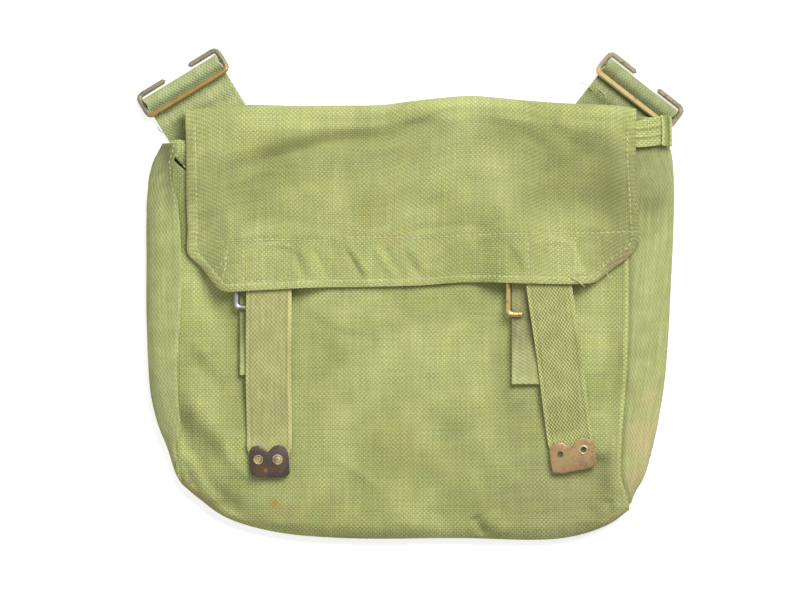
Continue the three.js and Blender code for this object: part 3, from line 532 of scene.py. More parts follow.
FRONT_FOLDS = [
    (-2.70, 5.0, 4.2, [
        (181, 398), (186, 422), (192, 448), (203, 474), (224, 496), (252, 509), (284, 516),
    ]),
    (2.46, 6.0, 6.0, [(184, 386), (200, 406), (222, 432), (242, 456), (262, 478)]),
    (2.71, 3.5, 4.0, [(187, 446), (194, 460), (203, 476), (214, 492), (226, 504)]),
    (-1.12, 3.0, 3.0, [(186, 455), (192, 474), (202, 490)]),
    (1.48, 5.0, 5.0, [(238, 498), (262, 512), (296, 524)]),
    (-1.12, 5.0, 5.0, [(236, 440), (244, 468), (256, 488)]),
    (1.36, 5.0, 7.0, [(186, 266), (196, 290), (214, 330), (222, 360)]),
    (-1.23, 5.0, 5.0, [(196, 262), (212, 290), (228, 318), (236, 350)]),
    (-1.12, 5.0, 4.0, [(190, 350), (210, 372), (232, 392)]),
    (0.86, 4.0, 4.0, [(188, 330), (206, 350), (226, 372)]),
    (-2.33, 8.0, 6.0, [(500, 304), (503, 340), (499, 380), (494, 420)]),
    (1.84, 9.0, 9.0, [(468, 308), (474, 350), (470, 396), (462, 430)]),
    (1.97, 7.0, 7.0, [(590, 308), (594, 340), (600, 374)]),
    (-1.84, 5.0, 5.0, [(614, 322), (617, 350), (612, 386), (606, 418)]),
    (1.97, 7.0, 6.0, [(598, 404), (599, 430), (596, 456)]),
    (-2.20, 8.0, 6.0, [(603, 440), (599, 470), (596, 496), (589, 516)]),
    (1.84, 3.6, 3.6, [(616, 430), (614, 462), (615, 494)]),
    (-1.97, 3.0, 3.0, [(609, 494), (611, 508), (608, 522)]),
    (-2.46, 3.6, 3.0, [(474, 512), (481, 522), (489, 536)]),
    (1.48, 5.0, 5.0, [(486, 508), (497, 522), (508, 532)]),
    (-1.48, 12.0, 10.0, [(516, 392), (528, 416), (536, 446)]),
    (1.12, 8.0, 8.0, [(472, 420), (492, 446), (506, 470)]),
    (-0.99, 7.0, 7.0, [(512, 478), (516, 498), (500, 512)]),
    (0.86, 7.0, 7.0, [(560, 486), (572, 506), (560, 524)]),
    (-0.99, 8.0, 8.0, [(340, 470), (380, 476), (420, 470)]),
    (0.99, 9.0, 9.0, [(330, 420), (370, 430), (410, 440)]),
    (-0.86, 5.0, 5.0, [(300, 300), (312, 340), (306, 390), (312, 430)]),
    (0.86, 8.0, 8.0, [(340, 300), (352, 350), (346, 400)]),
    (-0.86, 7.0, 7.0, [(390, 310), (410, 360), (404, 410)]),
    (0.74, 6.0, 6.0, [(430, 300), (440, 340), (432, 380)]),
    (-0.74, 3.0, 3.0, [(304, 310), (340, 330), (380, 338)]),
    (0.74, 2.6, 2.6, [(330, 452), (360, 470), (386, 492)]),
    (-0.74, 4.0, 4.0, [(430, 500), (444, 514), (450, 530)]),
    (0.74, 5.0, 5.0, [(396, 500), (410, 516), (420, 530)]),
]
BUCKLE_MARKS = [
    (0.50, 1.3, 1.3, [
        (262, 284), (262, 256), (264, 247), (272, 244.5), (286, 244.5), (294, 248), (295.5, 258),
        (295, 284),
    ]),
    (0.36, 1.4, 1.4, [
        (530, 280), (530, 250), (534, 243), (550, 241), (566, 242), (572, 248), (573, 278),
    ]),
]


def close_to(line, x, y, reach):
    """The places within reach of a line's own box, as a mask."""
    low = line.points[:, :2].min(axis=0) - reach
    high = line.points[:, :2].max(axis=0) + reach
    return (x > low[0]) & (x < high[0]) & (y > low[1]) & (y < high[1])


# The folds are drawn where their light or dark side shows, so each line lies a little further from
# the light, which comes from the upper right.
AWAY = np.array([-0.50, -0.86])


def fold_height(rows, x, y, taper=0.22):
    """Height of drawn folds at places on the bag."""
    lift = np.zeros(np.shape(x))
    for height, left, right, route in rows:
        line = Line(chart(route) + AWAY * 0.3 * (left + right))
        found = close_to(line, x, y, 2.6 * max(left, right))
        distance, share, side = from_line(line, x[found], y[found])
        reach = np.where(side > 0, left, right)
        fade = smooth(share, 0, taper) * (1 - smooth(share, 1 - taper, 1))
        lift[found] += height * np.exp(-((distance / reach) ** 2)) * fade
    return lift


def seam_height(line, x, y, groove=0.18, reach=1.0, pucker=0.14, spread=5.0, beat=7.3):
    """A stitched line pressed into cloth, with the small waves that its thread pulls up."""
    lift = np.zeros(np.shape(x))
    found = close_to(line, x, y, 2.6 * spread)
    distance, share, side = from_line(line, x[found], y[found])
    run = np.interp(share, line.t, line.run)
    turn = run * 2 * math.pi / beat
    waves = np.sin(turn + 1.7 * np.sin(run / 11.0)) + 0.6 * np.sin(turn / 0.43)
    ends = smooth(share, 0, 0.01) * (1 - smooth(share, 0.99, 1))
    pressed = -groove * np.exp(-((distance / reach) ** 2)) * ends
    lift[found] = pressed + pucker * waves * np.exp(-((distance / spread) ** 2)) * ends
    return lift


def doubled(line, x, y, width, lift, ease=0.7):
    """Height of a turned hem: a second layer of cloth out to its width from an edge."""
    return lift * near(line, x, y, width - ease, width + ease)


def near(line, x, y, low, high):
    """1 at a line, easing to 0 between two distances from it."""
    share = np.zeros(np.shape(x))
    found = close_to(line, x, y, high)
    share[found] = 1 - smooth(from_line(line, x[found], y[found])[0], low, high)
    return share


def painted_light_and_shade(rows, x, y):
    """How much lighter or darker the cloth is painted, as painted light and shade, from rows of a
    share, the reach on either side and a line."""
    tone = np.zeros(np.shape(x))
    for share, reach, route in rows:
        line = Line(chart(route))
        found = close_to(line, x, y, 2.4 * reach)
        distance = from_line(line, x[found], y[found])[0]
        tone[found] += share * np.exp(-((distance / reach) ** 2))
    return tone


def spots(rows, x, y):
    """Soft round marks: the place on the chart, the radius in millimetres and the strength."""
    total = np.zeros(np.shape(x))
    for place, radius, strength in rows:
        middle = chart([place])[0]
        square = (x - middle[0]) ** 2 + (y - middle[1]) ** 2
        total = np.maximum(total, strength * np.exp(-square / radius**2))
    return total


# Stitch lines on the chart
BAND_SEAM = Line(chart([
    (215, 242), (250, 240.8), (283, 240), (327, 241), (340, 239.5), (351, 237.5), (385, 237.8),
    (420, 238.4), (438, 237.3), (465, 236), (496, 234.4), (525, 234), (553, 233.5), (591, 233.5),
    (615, 232.4), (637, 231.6),
]))
HEM_SEAM = Line(chart([
    (224, 285), (245, 284.6), (262, 283.8), (290, 282.6), (319, 281.3), (354, 280.6), (390, 280),
    (420, 279.2), (450, 277.4), (475, 276.4), (505, 276.8), (535, 277.4), (560, 277.6),
    (580, 277.2), (594, 275.2),
]))
LEFT_HEM_SEAM = Line(chart([
    (196, 126), (196, 150), (196.4, 180), (196.8, 205), (197.2, 225), (196.6, 246), (199, 254),
    (207, 262.5), (214, 270.5), (221, 279.5), (224, 285),
]))
RIGHT_HEM_SEAM = Line(chart([
    (627, 126), (626.5, 150), (628, 176), (629.4, 200), (630.5, 222), (631.5, 238), (628, 246),
    (616, 255.5), (606, 263.5), (599, 270.5), (594, 275.2),
]))
PATCH_SEAMS = [
    Line(chart([(228.8, 244), (227.4, 256), (225.4, 270), (222, 284)])),
    Line(chart([(243.8, 243), (243.6, 262), (244, 282)])),
    Line(chart([(243.8, 281.6), (256, 281.2), (270, 280.4), (284, 280)])),
    Line(chart([(289, 243), (290, 262), (289.4, 282)])),
    Line(chart([(596.6, 235), (599, 246), (602, 258), (603, 267)])),
    Line(chart([(527, 236), (527.6, 258), (528, 276)])),
    Line(chart([(573.6, 236), (574.6, 254), (574, 276)])),
    Line(chart([(228, 256), (222, 264), (214, 270)])),
]

# Painted light and shade on the flap: lighter where light falls on it, darker in its valleys and on
# slopes turned from the light, from rows of a share, a reach in millimetres and a line on the chart.
FLAP_PAINTED_LIGHT_AND_SHADE = [
    (0.13, 12, [(205, 124), (250, 118), (300, 116)]),
    (-0.15, 6, [(270, 164), (298, 154), (348, 146), (398, 139), (438, 130)]),
    (-0.14, 7, [(425, 112), (455, 109), (490, 113)]),
    (-0.10, 7, [(488, 134), (510, 142), (530, 152)]),
    (-0.22, 12, [(190, 190), (222, 191), (250, 193)]),
    (-0.08, 12, [(500, 138), (530, 146), (552, 156)]),
    (0.07, 12, [(206, 242), (240, 244), (290, 244)]),
    (0.08, 8, [(480, 214), (484, 236), (484, 258)]),
    (0.07, 8, [(604, 236), (626, 234)]),
    (-0.10, 8, [(210, 222), (260, 222), (305, 226)]),
    (-0.08, 15, [(300, 175), (340, 170), (380, 176)]),
    (-0.15, 14, [(636, 168), (590, 170), (548, 182), (515, 200)]),
    (-0.15, 12, [(538, 200), (572, 194), (600, 200)]),
    (-0.15, 16, [(606, 178), (614, 212), (612, 250)]),
    (-0.06, 16, [(580, 205), (550, 205), (520, 210)]),
    (-0.08, 14, [(600, 184), (622, 200), (624, 216)]),
    (-0.07, 2.2, [(343, 250), (352, 262), (362, 276)]),
    (-0.07, 2.2, [(300, 250), (303, 262), (309, 276)]),
    (0.07, 2.2, [(310, 246), (316, 258), (322, 270)]),
]
# Painted light and shade on the front panel: darker in its valleys and in the recess beside the flap's
# left edge, lighter beside the straps where the flap's edge throws shadow, from rows of a share, a
# reach in millimetres and a line on the chart.
FRONT_PAINTED_LIGHT_AND_SHADE = [
    (-0.15, 5, [(180, 390), (187, 416), (196, 440), (206, 470), (228, 496), (256, 510), (285, 516)]),
    (-0.16, 6, [(184, 398), (196, 424), (212, 448)]),
    (0.10, 4, [(170, 470), (186, 498), (212, 517), (250, 529)]),
    (0.12, 5, [(214, 291), (234, 292)]),
    (0.12, 5, [(297, 291), (316, 288)]),
    (0.12, 5, [(578, 289), (592, 283)]),
    (-0.30, 3.6, [(175, 160), (180, 180), (182, 210), (183, 244)]),
    (0.10, 6, [(190, 452), (198, 470), (206, 490)]),
    (0.07, 12, [(198, 300), (204, 336), (212, 366)]),
    (-0.09, 9, [(244, 488), (266, 503), (290, 512)]),
    (-0.04, 14, [(606, 500), (590, 516)]),
    (0.08, 8, [(200, 396), (222, 426), (244, 458)]),
    (-0.08, 7, [(186, 374), (210, 386), (236, 394)]),
    (-0.18, 8, [(494, 340), (500, 372), (514, 415), (536, 462)]),
    (-0.08, 11, [(412, 376), (440, 396), (452, 430), (456, 470)]),
    (-0.12, 9, [(470, 508), (492, 510), (516, 512)]),
    (-0.20, 7, [(598, 462), (599, 490), (595, 514)]),
    (-0.10, 5, [(612, 298), (613, 330), (611, 368)]),
    (0.06, 10, [(330, 450), (380, 470), (420, 500)]),
    (0.07, 2.5, [(560, 412), (592, 430), (606, 470)]),
]
# Painted light and shade on the gusset: darker where the strip turns from the light and in the recess
# at the mouth's left corner, from rows of a share, a reach in millimetres and a line on the chart.
GUSSET_PAINTED_LIGHT_AND_SHADE = [
    (-0.24, 13, [(652, 156), (653, 180), (650, 204)]),
    (-0.12, 6, [(156, 160), (164, 176), (168, 200)]),
    (-0.26, 6, [(172, 148), (174, 166), (177, 188)]),
    (-0.26, 4, [(165, 150), (170, 161), (176, 178)]),
    (-0.16, 4, [(632, 390), (633, 404)]),
    (-0.08, 4, [(640, 196), (655, 200), (668, 196)]),
    (0.06, 10, [(646, 380), (644, 430), (640, 460)]),
]

# Canvas: the back, fold and flap in one piece, and the front panel
FOLD_TOP = chart([
    (186, 111), (215, 108), (245, 106), (300, 107), (340, 106.5), (380, 106), (405, 103), (430, 100),
    (470, 97), (500, 99), (520, 101), (550, 103.5), (580, 105), (620, 107), (635.7, 110),
])
FOLD_START = Line(FOLD_TOP - [0, FOLD])
FLAP_LEFT = Line(np.vstack([
    FOLD_START.points[0, :2], chart([(187, 150), (187, 200), (188, 232), (187, 247)]),
]))
FLAP_RIGHT = Line(np.vstack([
    FOLD_START.points[-1, :2], chart([(635.3, 152), (637, 200), (638, 219), (640, 229), (639.5, 241)]),
]))
FLAP_LOWER = Line(chart([
    (187, 247), (189, 255), (201, 266), (217, 286), (225, 291.5), (247, 291), (290, 288.8),
    (319, 287.5), (354, 287), (420, 285.5), (467, 282.3), (524, 283.4), (578, 284), (594, 282),
    (600, 278), (612, 269), (630, 255), (639.5, 241),
]))


def flap_relief(x, y):
    """Height of the flap's folds, hems and seams over its middle surface."""
    lift = fold_height(FLAP_FOLDS, x, y) + fold_height(BAND_PUCKERS, x, y, 0.3)
    lift += fold_height(BUCKLE_MARKS, x, y, 0.06)
    lift += np.maximum(
        np.maximum(doubled(FLAP_LOWER, x, y, 3.6, 0.7), doubled(FLAP_LEFT, x, y, 5.2, 0.6)),
        doubled(FLAP_RIGHT, x, y, 5.4, 0.6),
    )
    for line in (BAND_SEAM, HEM_SEAM, LEFT_HEM_SEAM, RIGHT_HEM_SEAM):
        lift += seam_height(line, x, y)
    for line in PATCH_SEAMS:
        lift += seam_height(line, x, y, groove=0.25, reach=0.7, pucker=0.05, spread=3.0)
    return lift


def flap_top(x, y):
    """Height of the flap's middle surface with its folds, hems and seams, clear of the straps."""
    height = flap_mid(x, y) + flap_relief(x, y)
    for side in SIDES:
        start = LENGTH * (0.5 - side.knots[0][1])
        over = (side.outside(x) == 0) & (y < start + 3)
        least = side.under(np.ravel(y)).reshape(np.shape(y)) + FLAP_OVER_STRAP - WEB_GAP + 0.12
        height = np.where(over, np.maximum(height, least), height)
    return height


def clear_under(x, y, height):
    """Height of the front panel, pressed down where the flap, straps and chapes lie on it."""
    distance, _, side = from_line(FLAP_LOWER, x, y)
    past = np.where(side < 0, distance, 0).reshape(np.shape(x))
    covered = 1 - smooth(past, 0.5, 5)
    found = covered > 0
    pressed = blend(height[found], flap_top(x[found], y[found]) - UNDER_FLAP, covered[found])
    height = height.copy()
    height[found] = np.minimum(height[found], pressed)
    for strap in SIDES:
        spread = smooth(x, strap.left - 5, strap.left) * (1 - smooth(x, strap.right, strap.right + 5))
        low = LENGTH * (0.5 - strap.knots[-1][1])
        spread = spread * smooth(y, low - 5, low - 1)
        most = strap.under(np.ravel(y)).reshape(np.shape(y)) + 0.28
        height = np.minimum(height, blend(height, np.minimum(height, most), spread))
    return height


def back_and_flap():
    """The canvas back, folded over the mouth as the flap."""
    across = spaced(268, (0, 0.03, 1.0), (1, 0.03, 1.0))
    outset = 4.0
    left_back = shares(RUN[:LEFT_CORNER + 1, 4:6])
    right_back = shares(RUN[RIGHT_CORNER:, 4:6])[::-1]
    bottom_back = shares(RUN[LEFT_CORNER:RIGHT_CORNER + 1, 4:6])

    def widen(points):
        return points + np.column_stack([np.sign(points[:, 0]) * outset, np.zeros(len(points))])

    def lower(points):
        return np.column_stack([points[:, 0] * (1 + outset / HALF_WIDTH), points[:, 1] - outset])

    start = FOLD_START.points[:, :2]
    bottom_edge = Line(lower(bottom_back))
    left_edge = Line(np.vstack([start[0], widen(left_back[1:-1]), lower(left_back[-1:])]))
    right_edge = Line(np.vstack([start[-1], widen(right_back[2:-1]), lower(right_back[-1:])]))
    back = patch(FOLD_START, bottom_edge, left_edge, right_edge, across, even(16))
    back[:, :, 2] = ground_top(back[:, :, 0], back[:, :, 1]) + CANVAS / 2
    down = spaced(144, (1, 0.20, 1.0))
    flap = patch(FOLD_START, FLAP_LOWER, FLAP_LEFT, FLAP_RIGHT, across, down)
    x, y = flap[:, :, 0], flap[:, :, 1]
    flap[:, :, 2] = blend(flap_mid(x, y), flap_top(x, y), smooth(down, 0, 0.06)[:, None])
    turns = 10
    angle = math.pi * np.arange(1, turns)[:, None, None] / turns
    fold = blend(back[0], flap[0], (1 - np.cos(angle)) / 2)
    fold[:, :, 1] += FOLD * np.sin(angle[:, :, 0])
    grid = np.vstack([back[::-1], fold, flap])
    x, y = grid[:, :, 0], grid[:, :, 1]
    run = np.zeros(grid.shape[:2])
    run[1:] = np.cumsum(np.linalg.norm(np.diff(grid, axis=0), axis=2), axis=0)
    uv = np.dstack([x, -run])
    front = np.zeros(grid.shape[:2])
    front[-len(down):] = 1
    wear = np.maximum(0.75 * near(FLAP_LEFT, x, y, 0.3, 2.6), 0.55 * near(FLAP_RIGHT, x, y, 0.3, 3.2))
    lower_edge = near(FLAP_LOWER, x, y, 0.3, 2.4)
    corners = spots([((205, 272), 22, 1.0), ((618, 262), 24, 1.0)], x, y)
    wear = np.maximum(wear, lower_edge * (0.45 + 0.55 * corners))
    right_corner = spots([((622, 262), 15, 1.0)], x, y)
    wear = np.maximum(wear, 0.95 * near(FLAP_LOWER, x, y, 3.0, 6.5) * right_corner) * front
    drab = spots([((612, 252), 14, 0.7), ((209, 262), 12, 0.35), ((636, 190), 9, 0.3)], x, y) * front
    rust = spots([
        ((370, 211), 9, 0.20), ((390, 243), 7, 0.20), ((258, 150), 8, 0.07), ((545, 250), 6, 0.08),
        ((380, 212), 4, 0.12), ((596, 178), 9, 0.06),
    ], x, y) * front
    # The flap's tone is painted light and shade.
    return cloth("haversack_flap", grid, uv, CANVAS, {
        "wear": wear, "rust": rust, "drab": drab, "tone": painted_light_and_shade(FLAP_PAINTED_LIGHT_AND_SHADE, x, y) * front,
    })


def front_panel():
    """The canvas front, rolled under at its bottom edge."""
    across = spaced(214, (0, 0.05, 0.8), (1, 0.05, 0.9))
    down = spaced(196, (1, 0.05, 0.8))
    rim = RUN[:, 0:2].copy()
    rim[LEFT_CORNER - 1:LEFT_CORNER + 1, 0] -= (0.013, 0.004)
    left = Line(shares(rim[:LEFT_CORNER + 1]))
    bottom = Line(shares(rim[LEFT_CORNER:RIGHT_CORNER + 1]))
    right = Line(shares(RUN[RIGHT_CORNER:, 0:2])[::-1])
    grid = patch(MOUTH, bottom, left, right, across, down)[::-1]
    x, y = grid[:, :, 0], grid[:, :, 1]
    distance, share, _ = from_line(RIM, x, y)
    distance = distance.reshape(x.shape)
    share = share.reshape(x.shape)
    inside = smooth(distance, 0, 5)
    relief = fold_height(FRONT_FOLDS, x, y) * inside
    on_right = smooth(share, KNOT_SHARES[RIGHT_CORNER - 1], KNOT_SHARES[RIGHT_CORNER + 1])
    corner = chart([(178, 467)])[0]
    relief += 1.5 * np.exp(-((x - corner[0]) ** 2 + (y - corner[1]) ** 2) / 7.0**2)
    relief += 0.75 * np.exp(-(((distance - 1.3) / 1.1) ** 2)) * on_right
    grid[:, :, 2] = clear_under(x, y, panel_mid(x, y) + relief)
    # A painted highlight along the crest of the right edge, with painted shade a little way inside it.
    painted_crest_light = 0.20 * np.exp(-(((distance - 0.9) / 1.0) ** 2)) * on_right * (1 - smooth(share, 0.97, 1))
    painted_crest_light -= 0.07 * np.exp(-(((distance - 4.2) / 2.0) ** 2)) * on_right
    low_left = spots([((196, 492), 26, 1.0), ((240, 520), 20, 0.7)], x, y)
    low_right = spots([((612, 520), 26, 0.9), ((585, 533), 18, 0.6)], x, y)
    edge = 1 - smooth(distance, 0.5, 5.0)
    wear = edge * np.maximum(0.35, np.maximum(low_left, low_right))
    wear *= smooth(share, KNOT_SHARES[LEFT_CORNER - 2], KNOT_SHARES[LEFT_CORNER])
    rubbed = spots([((190, 479), 8, 0.62), ((198, 491), 8, 0.6), ((214, 504), 8, 0.4)], x, y)
    wear = np.maximum(wear, rubbed)
    rust = spots([
        ((274.8, 503), 2.6, 1.0), ((276, 508), 5, 0.30), ((300, 512), 10, 0.14), ((408, 436), 13, 0.16),
        ((436, 452), 10, 0.13), ((420, 460), 8, 0.12), ((330, 524), 9, 0.10),
    ], x, y)
    drab = spots([((560, 500), 34, 0.8), ((600, 470), 26, 0.6), ((530, 420), 22, 0.3)], x, y)
    # The front's tone is painted light and shade, with the painted highlight on the right edge's crest.
    return cloth(
        "haversack_front", grid, grid[:, :, :2], CANVAS,
        {"wear": wear, "rust": rust, "drab": drab, "tone": painted_light_and_shade(FRONT_PAINTED_LIGHT_AND_SHADE, x, y) + painted_crest_light},
    )


# Lines of stitches, filled in by the sheets that carry them
GUSSET_ROUTES = []
HEM_ROUTES = []
WEB_COLUMNS = 48
CORNER_THICK = 1.0


def gusset():
    """The web strip, folded round the pouch like a sideways C."""
    stations = 340
    around = 36
    half = WEB / 2
    share = RIM.share_at(even(stations))
    rim = RIM.at(share)
    fold = OUTER.at(share)
    back = BACK.at(share)
    over = np.interp(share, KNOT_SHARES, RUN[:, 6])
    way = RIM.way(share)
    outward = np.column_stack([way[:, 1], -way[:, 0], np.zeros(stations)])
    crossing = 1 - abs(over)
    inset = 5 * (1 - smooth(crossing, 0, 0.6)) - 1.2 * np.clip(1 - abs(over) / 0.25, 0, 1)
    seam = rim - outward * inset[:, None]
    step = np.clip(over * 5, -1, 1) * (CANVAS / 2 + SEAM_GAP + half)
    seam[:, 2] = panel_mid(rim[:, 0], rim[:, 1]) + step
    inner = panel_mid(seam[:, 0], seam[:, 1]) + step
    seam[:, 2] = np.where(over > 0.5, np.maximum(seam[:, 2], inner), seam[:, 2])

    def low_at(points):
        """Height of the strip's middle where it lies on the ground or on a tab."""
        return ground_top(points[:, 0], points[:, 1]) + half

    out_run = fold - back
    out_length = np.linalg.norm(out_run, axis=1)
    on_back = back.copy()
    on_back[:, 2] = low_at(back) + CANVAS + LAP_GAP
    past_back = back + out_run * np.minimum(6.5 / out_length, 0.35)[:, None]
    past_back[:, 2] = low_at(past_back) + CANVAS + LAP_GAP
    down = back + out_run * np.minimum(12 / out_length, 0.62)[:, None]
    down[:, 2] = low_at(down)
    tall = np.maximum(seam[:, 2] - low_at(fold), 2.6 * half)
    nose = tall * 0.42
    low_nose = back + out_run * np.maximum(1 - nose / out_length, 0.7)[:, None]
    low_nose[:, 2] = low_at(low_nose)
    fold_mid = fold.copy()
    fold_mid[:, 2] = low_at(fold) + tall / 2
    in_run = (seam - fold) * [1, 1, 0]
    in_length = np.linalg.norm(in_run, axis=1)
    high_nose = fold + in_run * np.minimum(nose / in_length, 0.4)[:, None]
    high_nose[:, 2] = blend(fold_mid[:, 2], seam[:, 2], 0.86)
    before = fold + in_run * np.maximum(1 - 7 / in_length, 0.62)[:, None]
    before[:, 2] = blend(high_nose[:, 2], seam[:, 2], 0.97)
    grid = np.empty((stations, around, 3))
    turns = [on_back, past_back, down, low_nose, fold_mid, high_nose, before, seam]
    for index in range(stations):
        section = Line([turn[index] for turn in turns])
        grid[index] = section.along(even(around))
    drawn_up = (1 - smooth(share, 0, KNOT_SHARES[1] * 1.4))[:, None] * np.linspace(0.35, 1, around)
    grid[:, :, 1] += 4.6 * drawn_up
    grid[:, :, 0] += 2.6 * drawn_up
    flat = grid.reshape(-1, 3)
    grid[:, :, 2] = np.maximum(flat[:, 2], low_at(flat)).reshape(stations, around)
    width = np.zeros((stations, around))
    width[:, 1:] = np.cumsum(np.linalg.norm(np.diff(grid, axis=1), axis=2), axis=1)
    length = np.zeros((stations, 1))
    length[1:, 0] = np.cumsum(np.linalg.norm(np.diff(fold, axis=0), axis=1))
    uv = np.dstack([width, np.broadcast_to(length, width.shape)])
    seam_at = width[:, -1:] - 2.3
    index = np.argmax(width >= seam_at, axis=1)
    on_seam = grid[np.arange(stations), index] + [0, 0, half]
    sewn = (share < KNOT_SHARES[7]) & (over > 0.5)
    GUSSET_ROUTES.append(on_seam[sewn])
    from_edge = width[:, -1:] - width
    # The tone is lighter at the edge by the seam and darker a little way in; darker along the middle of
    # the left side; painted light and shade from the gusset's table; darker in a narrow line by the
    # panel's edge on the right; and painted shade at the strip's left end by the mouth.
    tone = 0.12 * np.exp(-((from_edge / 1.0) ** 2)) - 0.07 * np.exp(-(((from_edge - 4.4) / 1.6) ** 2))
    on_left = (share < KNOT_SHARES[9])[:, None]
    tone -= 0.10 * np.exp(-(((width - width[:, -1:] * 0.55) / 5.0) ** 2)) * on_left
    x, y = grid[:, :, 0], grid[:, :, 1]
    tone += painted_light_and_shade(GUSSET_PAINTED_LIGHT_AND_SHADE, x, y)
    beyond = from_line(RIM, x, y)[0].reshape(x.shape)
    on_right = (share > KNOT_SHARES[RIGHT_CORNER])[:, None]
    tone -= 0.24 * np.exp(-(((beyond - 1.2) / 1.3) ** 2)) * on_right
    end = 1 - smooth(share, 0, KNOT_SHARES[1] * 0.8)
    tone -= 0.25 * (end * smooth(width, 6, 20)[0].mean())[:, None] * np.exp(-((from_edge / 7.0) ** 2))
    wear = spots([
        ((652, 400), 16, 0.62), ((646, 440), 20, 0.80), ((640, 480), 16, 0.75), ((186, 478), 8, 0.7),
        ((174, 452), 12, 0.5), ((668, 250), 10, 0.2), ((152, 300), 9, 0.15),
    ], x, y)
    return cloth("haversack_gusset", grid, uv, WEB, {"tone": tone, "wear": wear}, edge=0.5)


def web_strip(name, middle, across, width, thick, marks):
    """A length of web about a middle line, with the way across it at each point."""
    across = np.broadcast_to(np.asarray(across, float), middle.shape)
    beside = np.linspace(-0.5, 0.5, WEB_COLUMNS) * width
    grid = middle[:, None, :] + beside[None, :, None] * across[:, None, :]
    run = np.concatenate([[0], np.cumsum(np.linalg.norm(np.diff(middle, axis=0), axis=1))])
    uv = np.dstack(np.broadcast_arrays(beside[None, :], run[:, None]))
    return cloth(name, grid, uv, thick, marks, edge=0.35)


def full_width(values):
    """Values along a web, the same right across it."""
    return np.outer(values, np.ones(WEB_COLUMNS))


def loop_angles():
    """The turn of web round a bar, from below it to above it."""
    return math.pi * (np.arange(9) / 8 - 0.5)


def resample(points, step):
    """Points along a polyline at an even step, its corners eased."""
    line = Line(points)
    count = max(int(line.length / step), 2)
    return line.along(even(count))


def tab(name):
    """The doubled web that holds a hook, turned round the hook's middle bar."""
    at, degrees = HOOKS[name]
    middle = np.append(shares([at])[0], 0)
    turn = math.radians(degrees)
    outward = np.array([-math.sin(turn), math.cos(turn), 0])
    across = np.array([math.cos(turn), math.sin(turn), 0])
    profile = [(DOUBLE_END + LAY_GAP + k * 5.0, TAB_LOW) for k in range(3)]
    profile += [(-HOOK_WIRE / 2, TAB_LOW)]
    for angle in loop_angles():
        profile.append((TAB_LOOP * math.cos(angle), MID_BAR + TAB_LOOP * math.sin(angle)))
    profile += [
        (LONG_ALONG * 0.22, blend(TAB_HIGH, MID_BAR + TAB_LOOP, 0.95)),
        (LONG_ALONG * 0.68, blend(TAB_HIGH, MID_BAR + TAB_LOOP, 0.16)),
        (LONG_ALONG, TAB_HIGH),
        ((LONG_ALONG + DOUBLE_END) / 2, TAB_HIGH),
        (DOUBLE_END, TAB_HIGH),
        (DOUBLE_END - 3, blend(TAB_LOW, TAB_HIGH, 0.4)),
        (DOUBLE_END - 6, TAB_LOW),
        (DOUBLE_END - 16, TAB_LOW),
        (-TAB_REACH, TAB_LOW),
    ]
    points = [middle + outward * along + [0, 0, height] for along, height in profile]
    run = resample(points, 0.7)
    run[:, 2] = np.maximum(run[:, 2], TAB_LOW)
    along = (run - middle) @ outward
    upper = (run[:, 2] > TAB_LOW + 1.2) | (along < DOUBLE_END)
    green = np.exp(-(((along - LONG_ALONG - 3.2) / 2.4) ** 2)) * upper
    # The shadow mark and a lower tone along it paint the shadow that falls under the long bar.
    dark = np.exp(-(((along - LONG_ALONG + 2.6) / 1.6) ** 2)) * upper
    edge = abs(np.linspace(-1, 1, WEB_COLUMNS)) > 0.94
    level = 0.08 * edge + {"left": 0.06, "right": -0.22}[name]
    return web_strip(f"tab_web_{name}", run, across, TAB_WIDTH, WEB, {
        "verdigris": full_width(green) * {"left": 0.5, "right": 0.2}[name],
        "shadow": full_width(dark) * 0.8,
        "tone": np.outer(np.ones(len(run)), level) - full_width(dark) * 0.10,
    })


def chape(side):
    """The doubled web that holds a buckle, turned round the buckle's upper bar."""
    points = []
    low = np.linspace(side.end, side.bar - WIRE / 2, 10)
    under = side.under(low)
    for y, z in zip(low, under):
        points.append((side.middle, y, z + CHAPE_LOW))
    bar = side.under(side.bar)[0] + BAR_OVER
    for angle in loop_angles():
        points.append((side.middle, side.bar + LOOP * math.cos(angle), bar + LOOP * math.sin(angle)))
    for y, z in zip(low[-2::-1], under[-2::-1]):
        away = smooth(side.bar - y, 1, CHAPE / 2)
        points.append((side.middle, y, z + blend(BAR_OVER + LOOP, CHAPE_HIGH, away)))
    run = resample(points, 0.7)
    # The chape is darker about its middle, more on the right one: partly a real stain and partly
    # painted shade, in the stain mark and a lower tone.
    stain_and_shade = np.exp(-(((run[:, 1] - 1) / 15) ** 2)) * {"left": 0.3, "right": 0.75}[side.name]
    foot = np.exp(-(((run[:, 1] - side.end - 2) / 3) ** 2))
    return web_strip(f"chape_web_{side.name}", run, (1, 0, 0), CHAPE, CHAPE_THICK, {
        "stain_and_shade": full_width(stain_and_shade), "tone": full_width(0.08 * foot - 0.10 * stain_and_shade),
    })


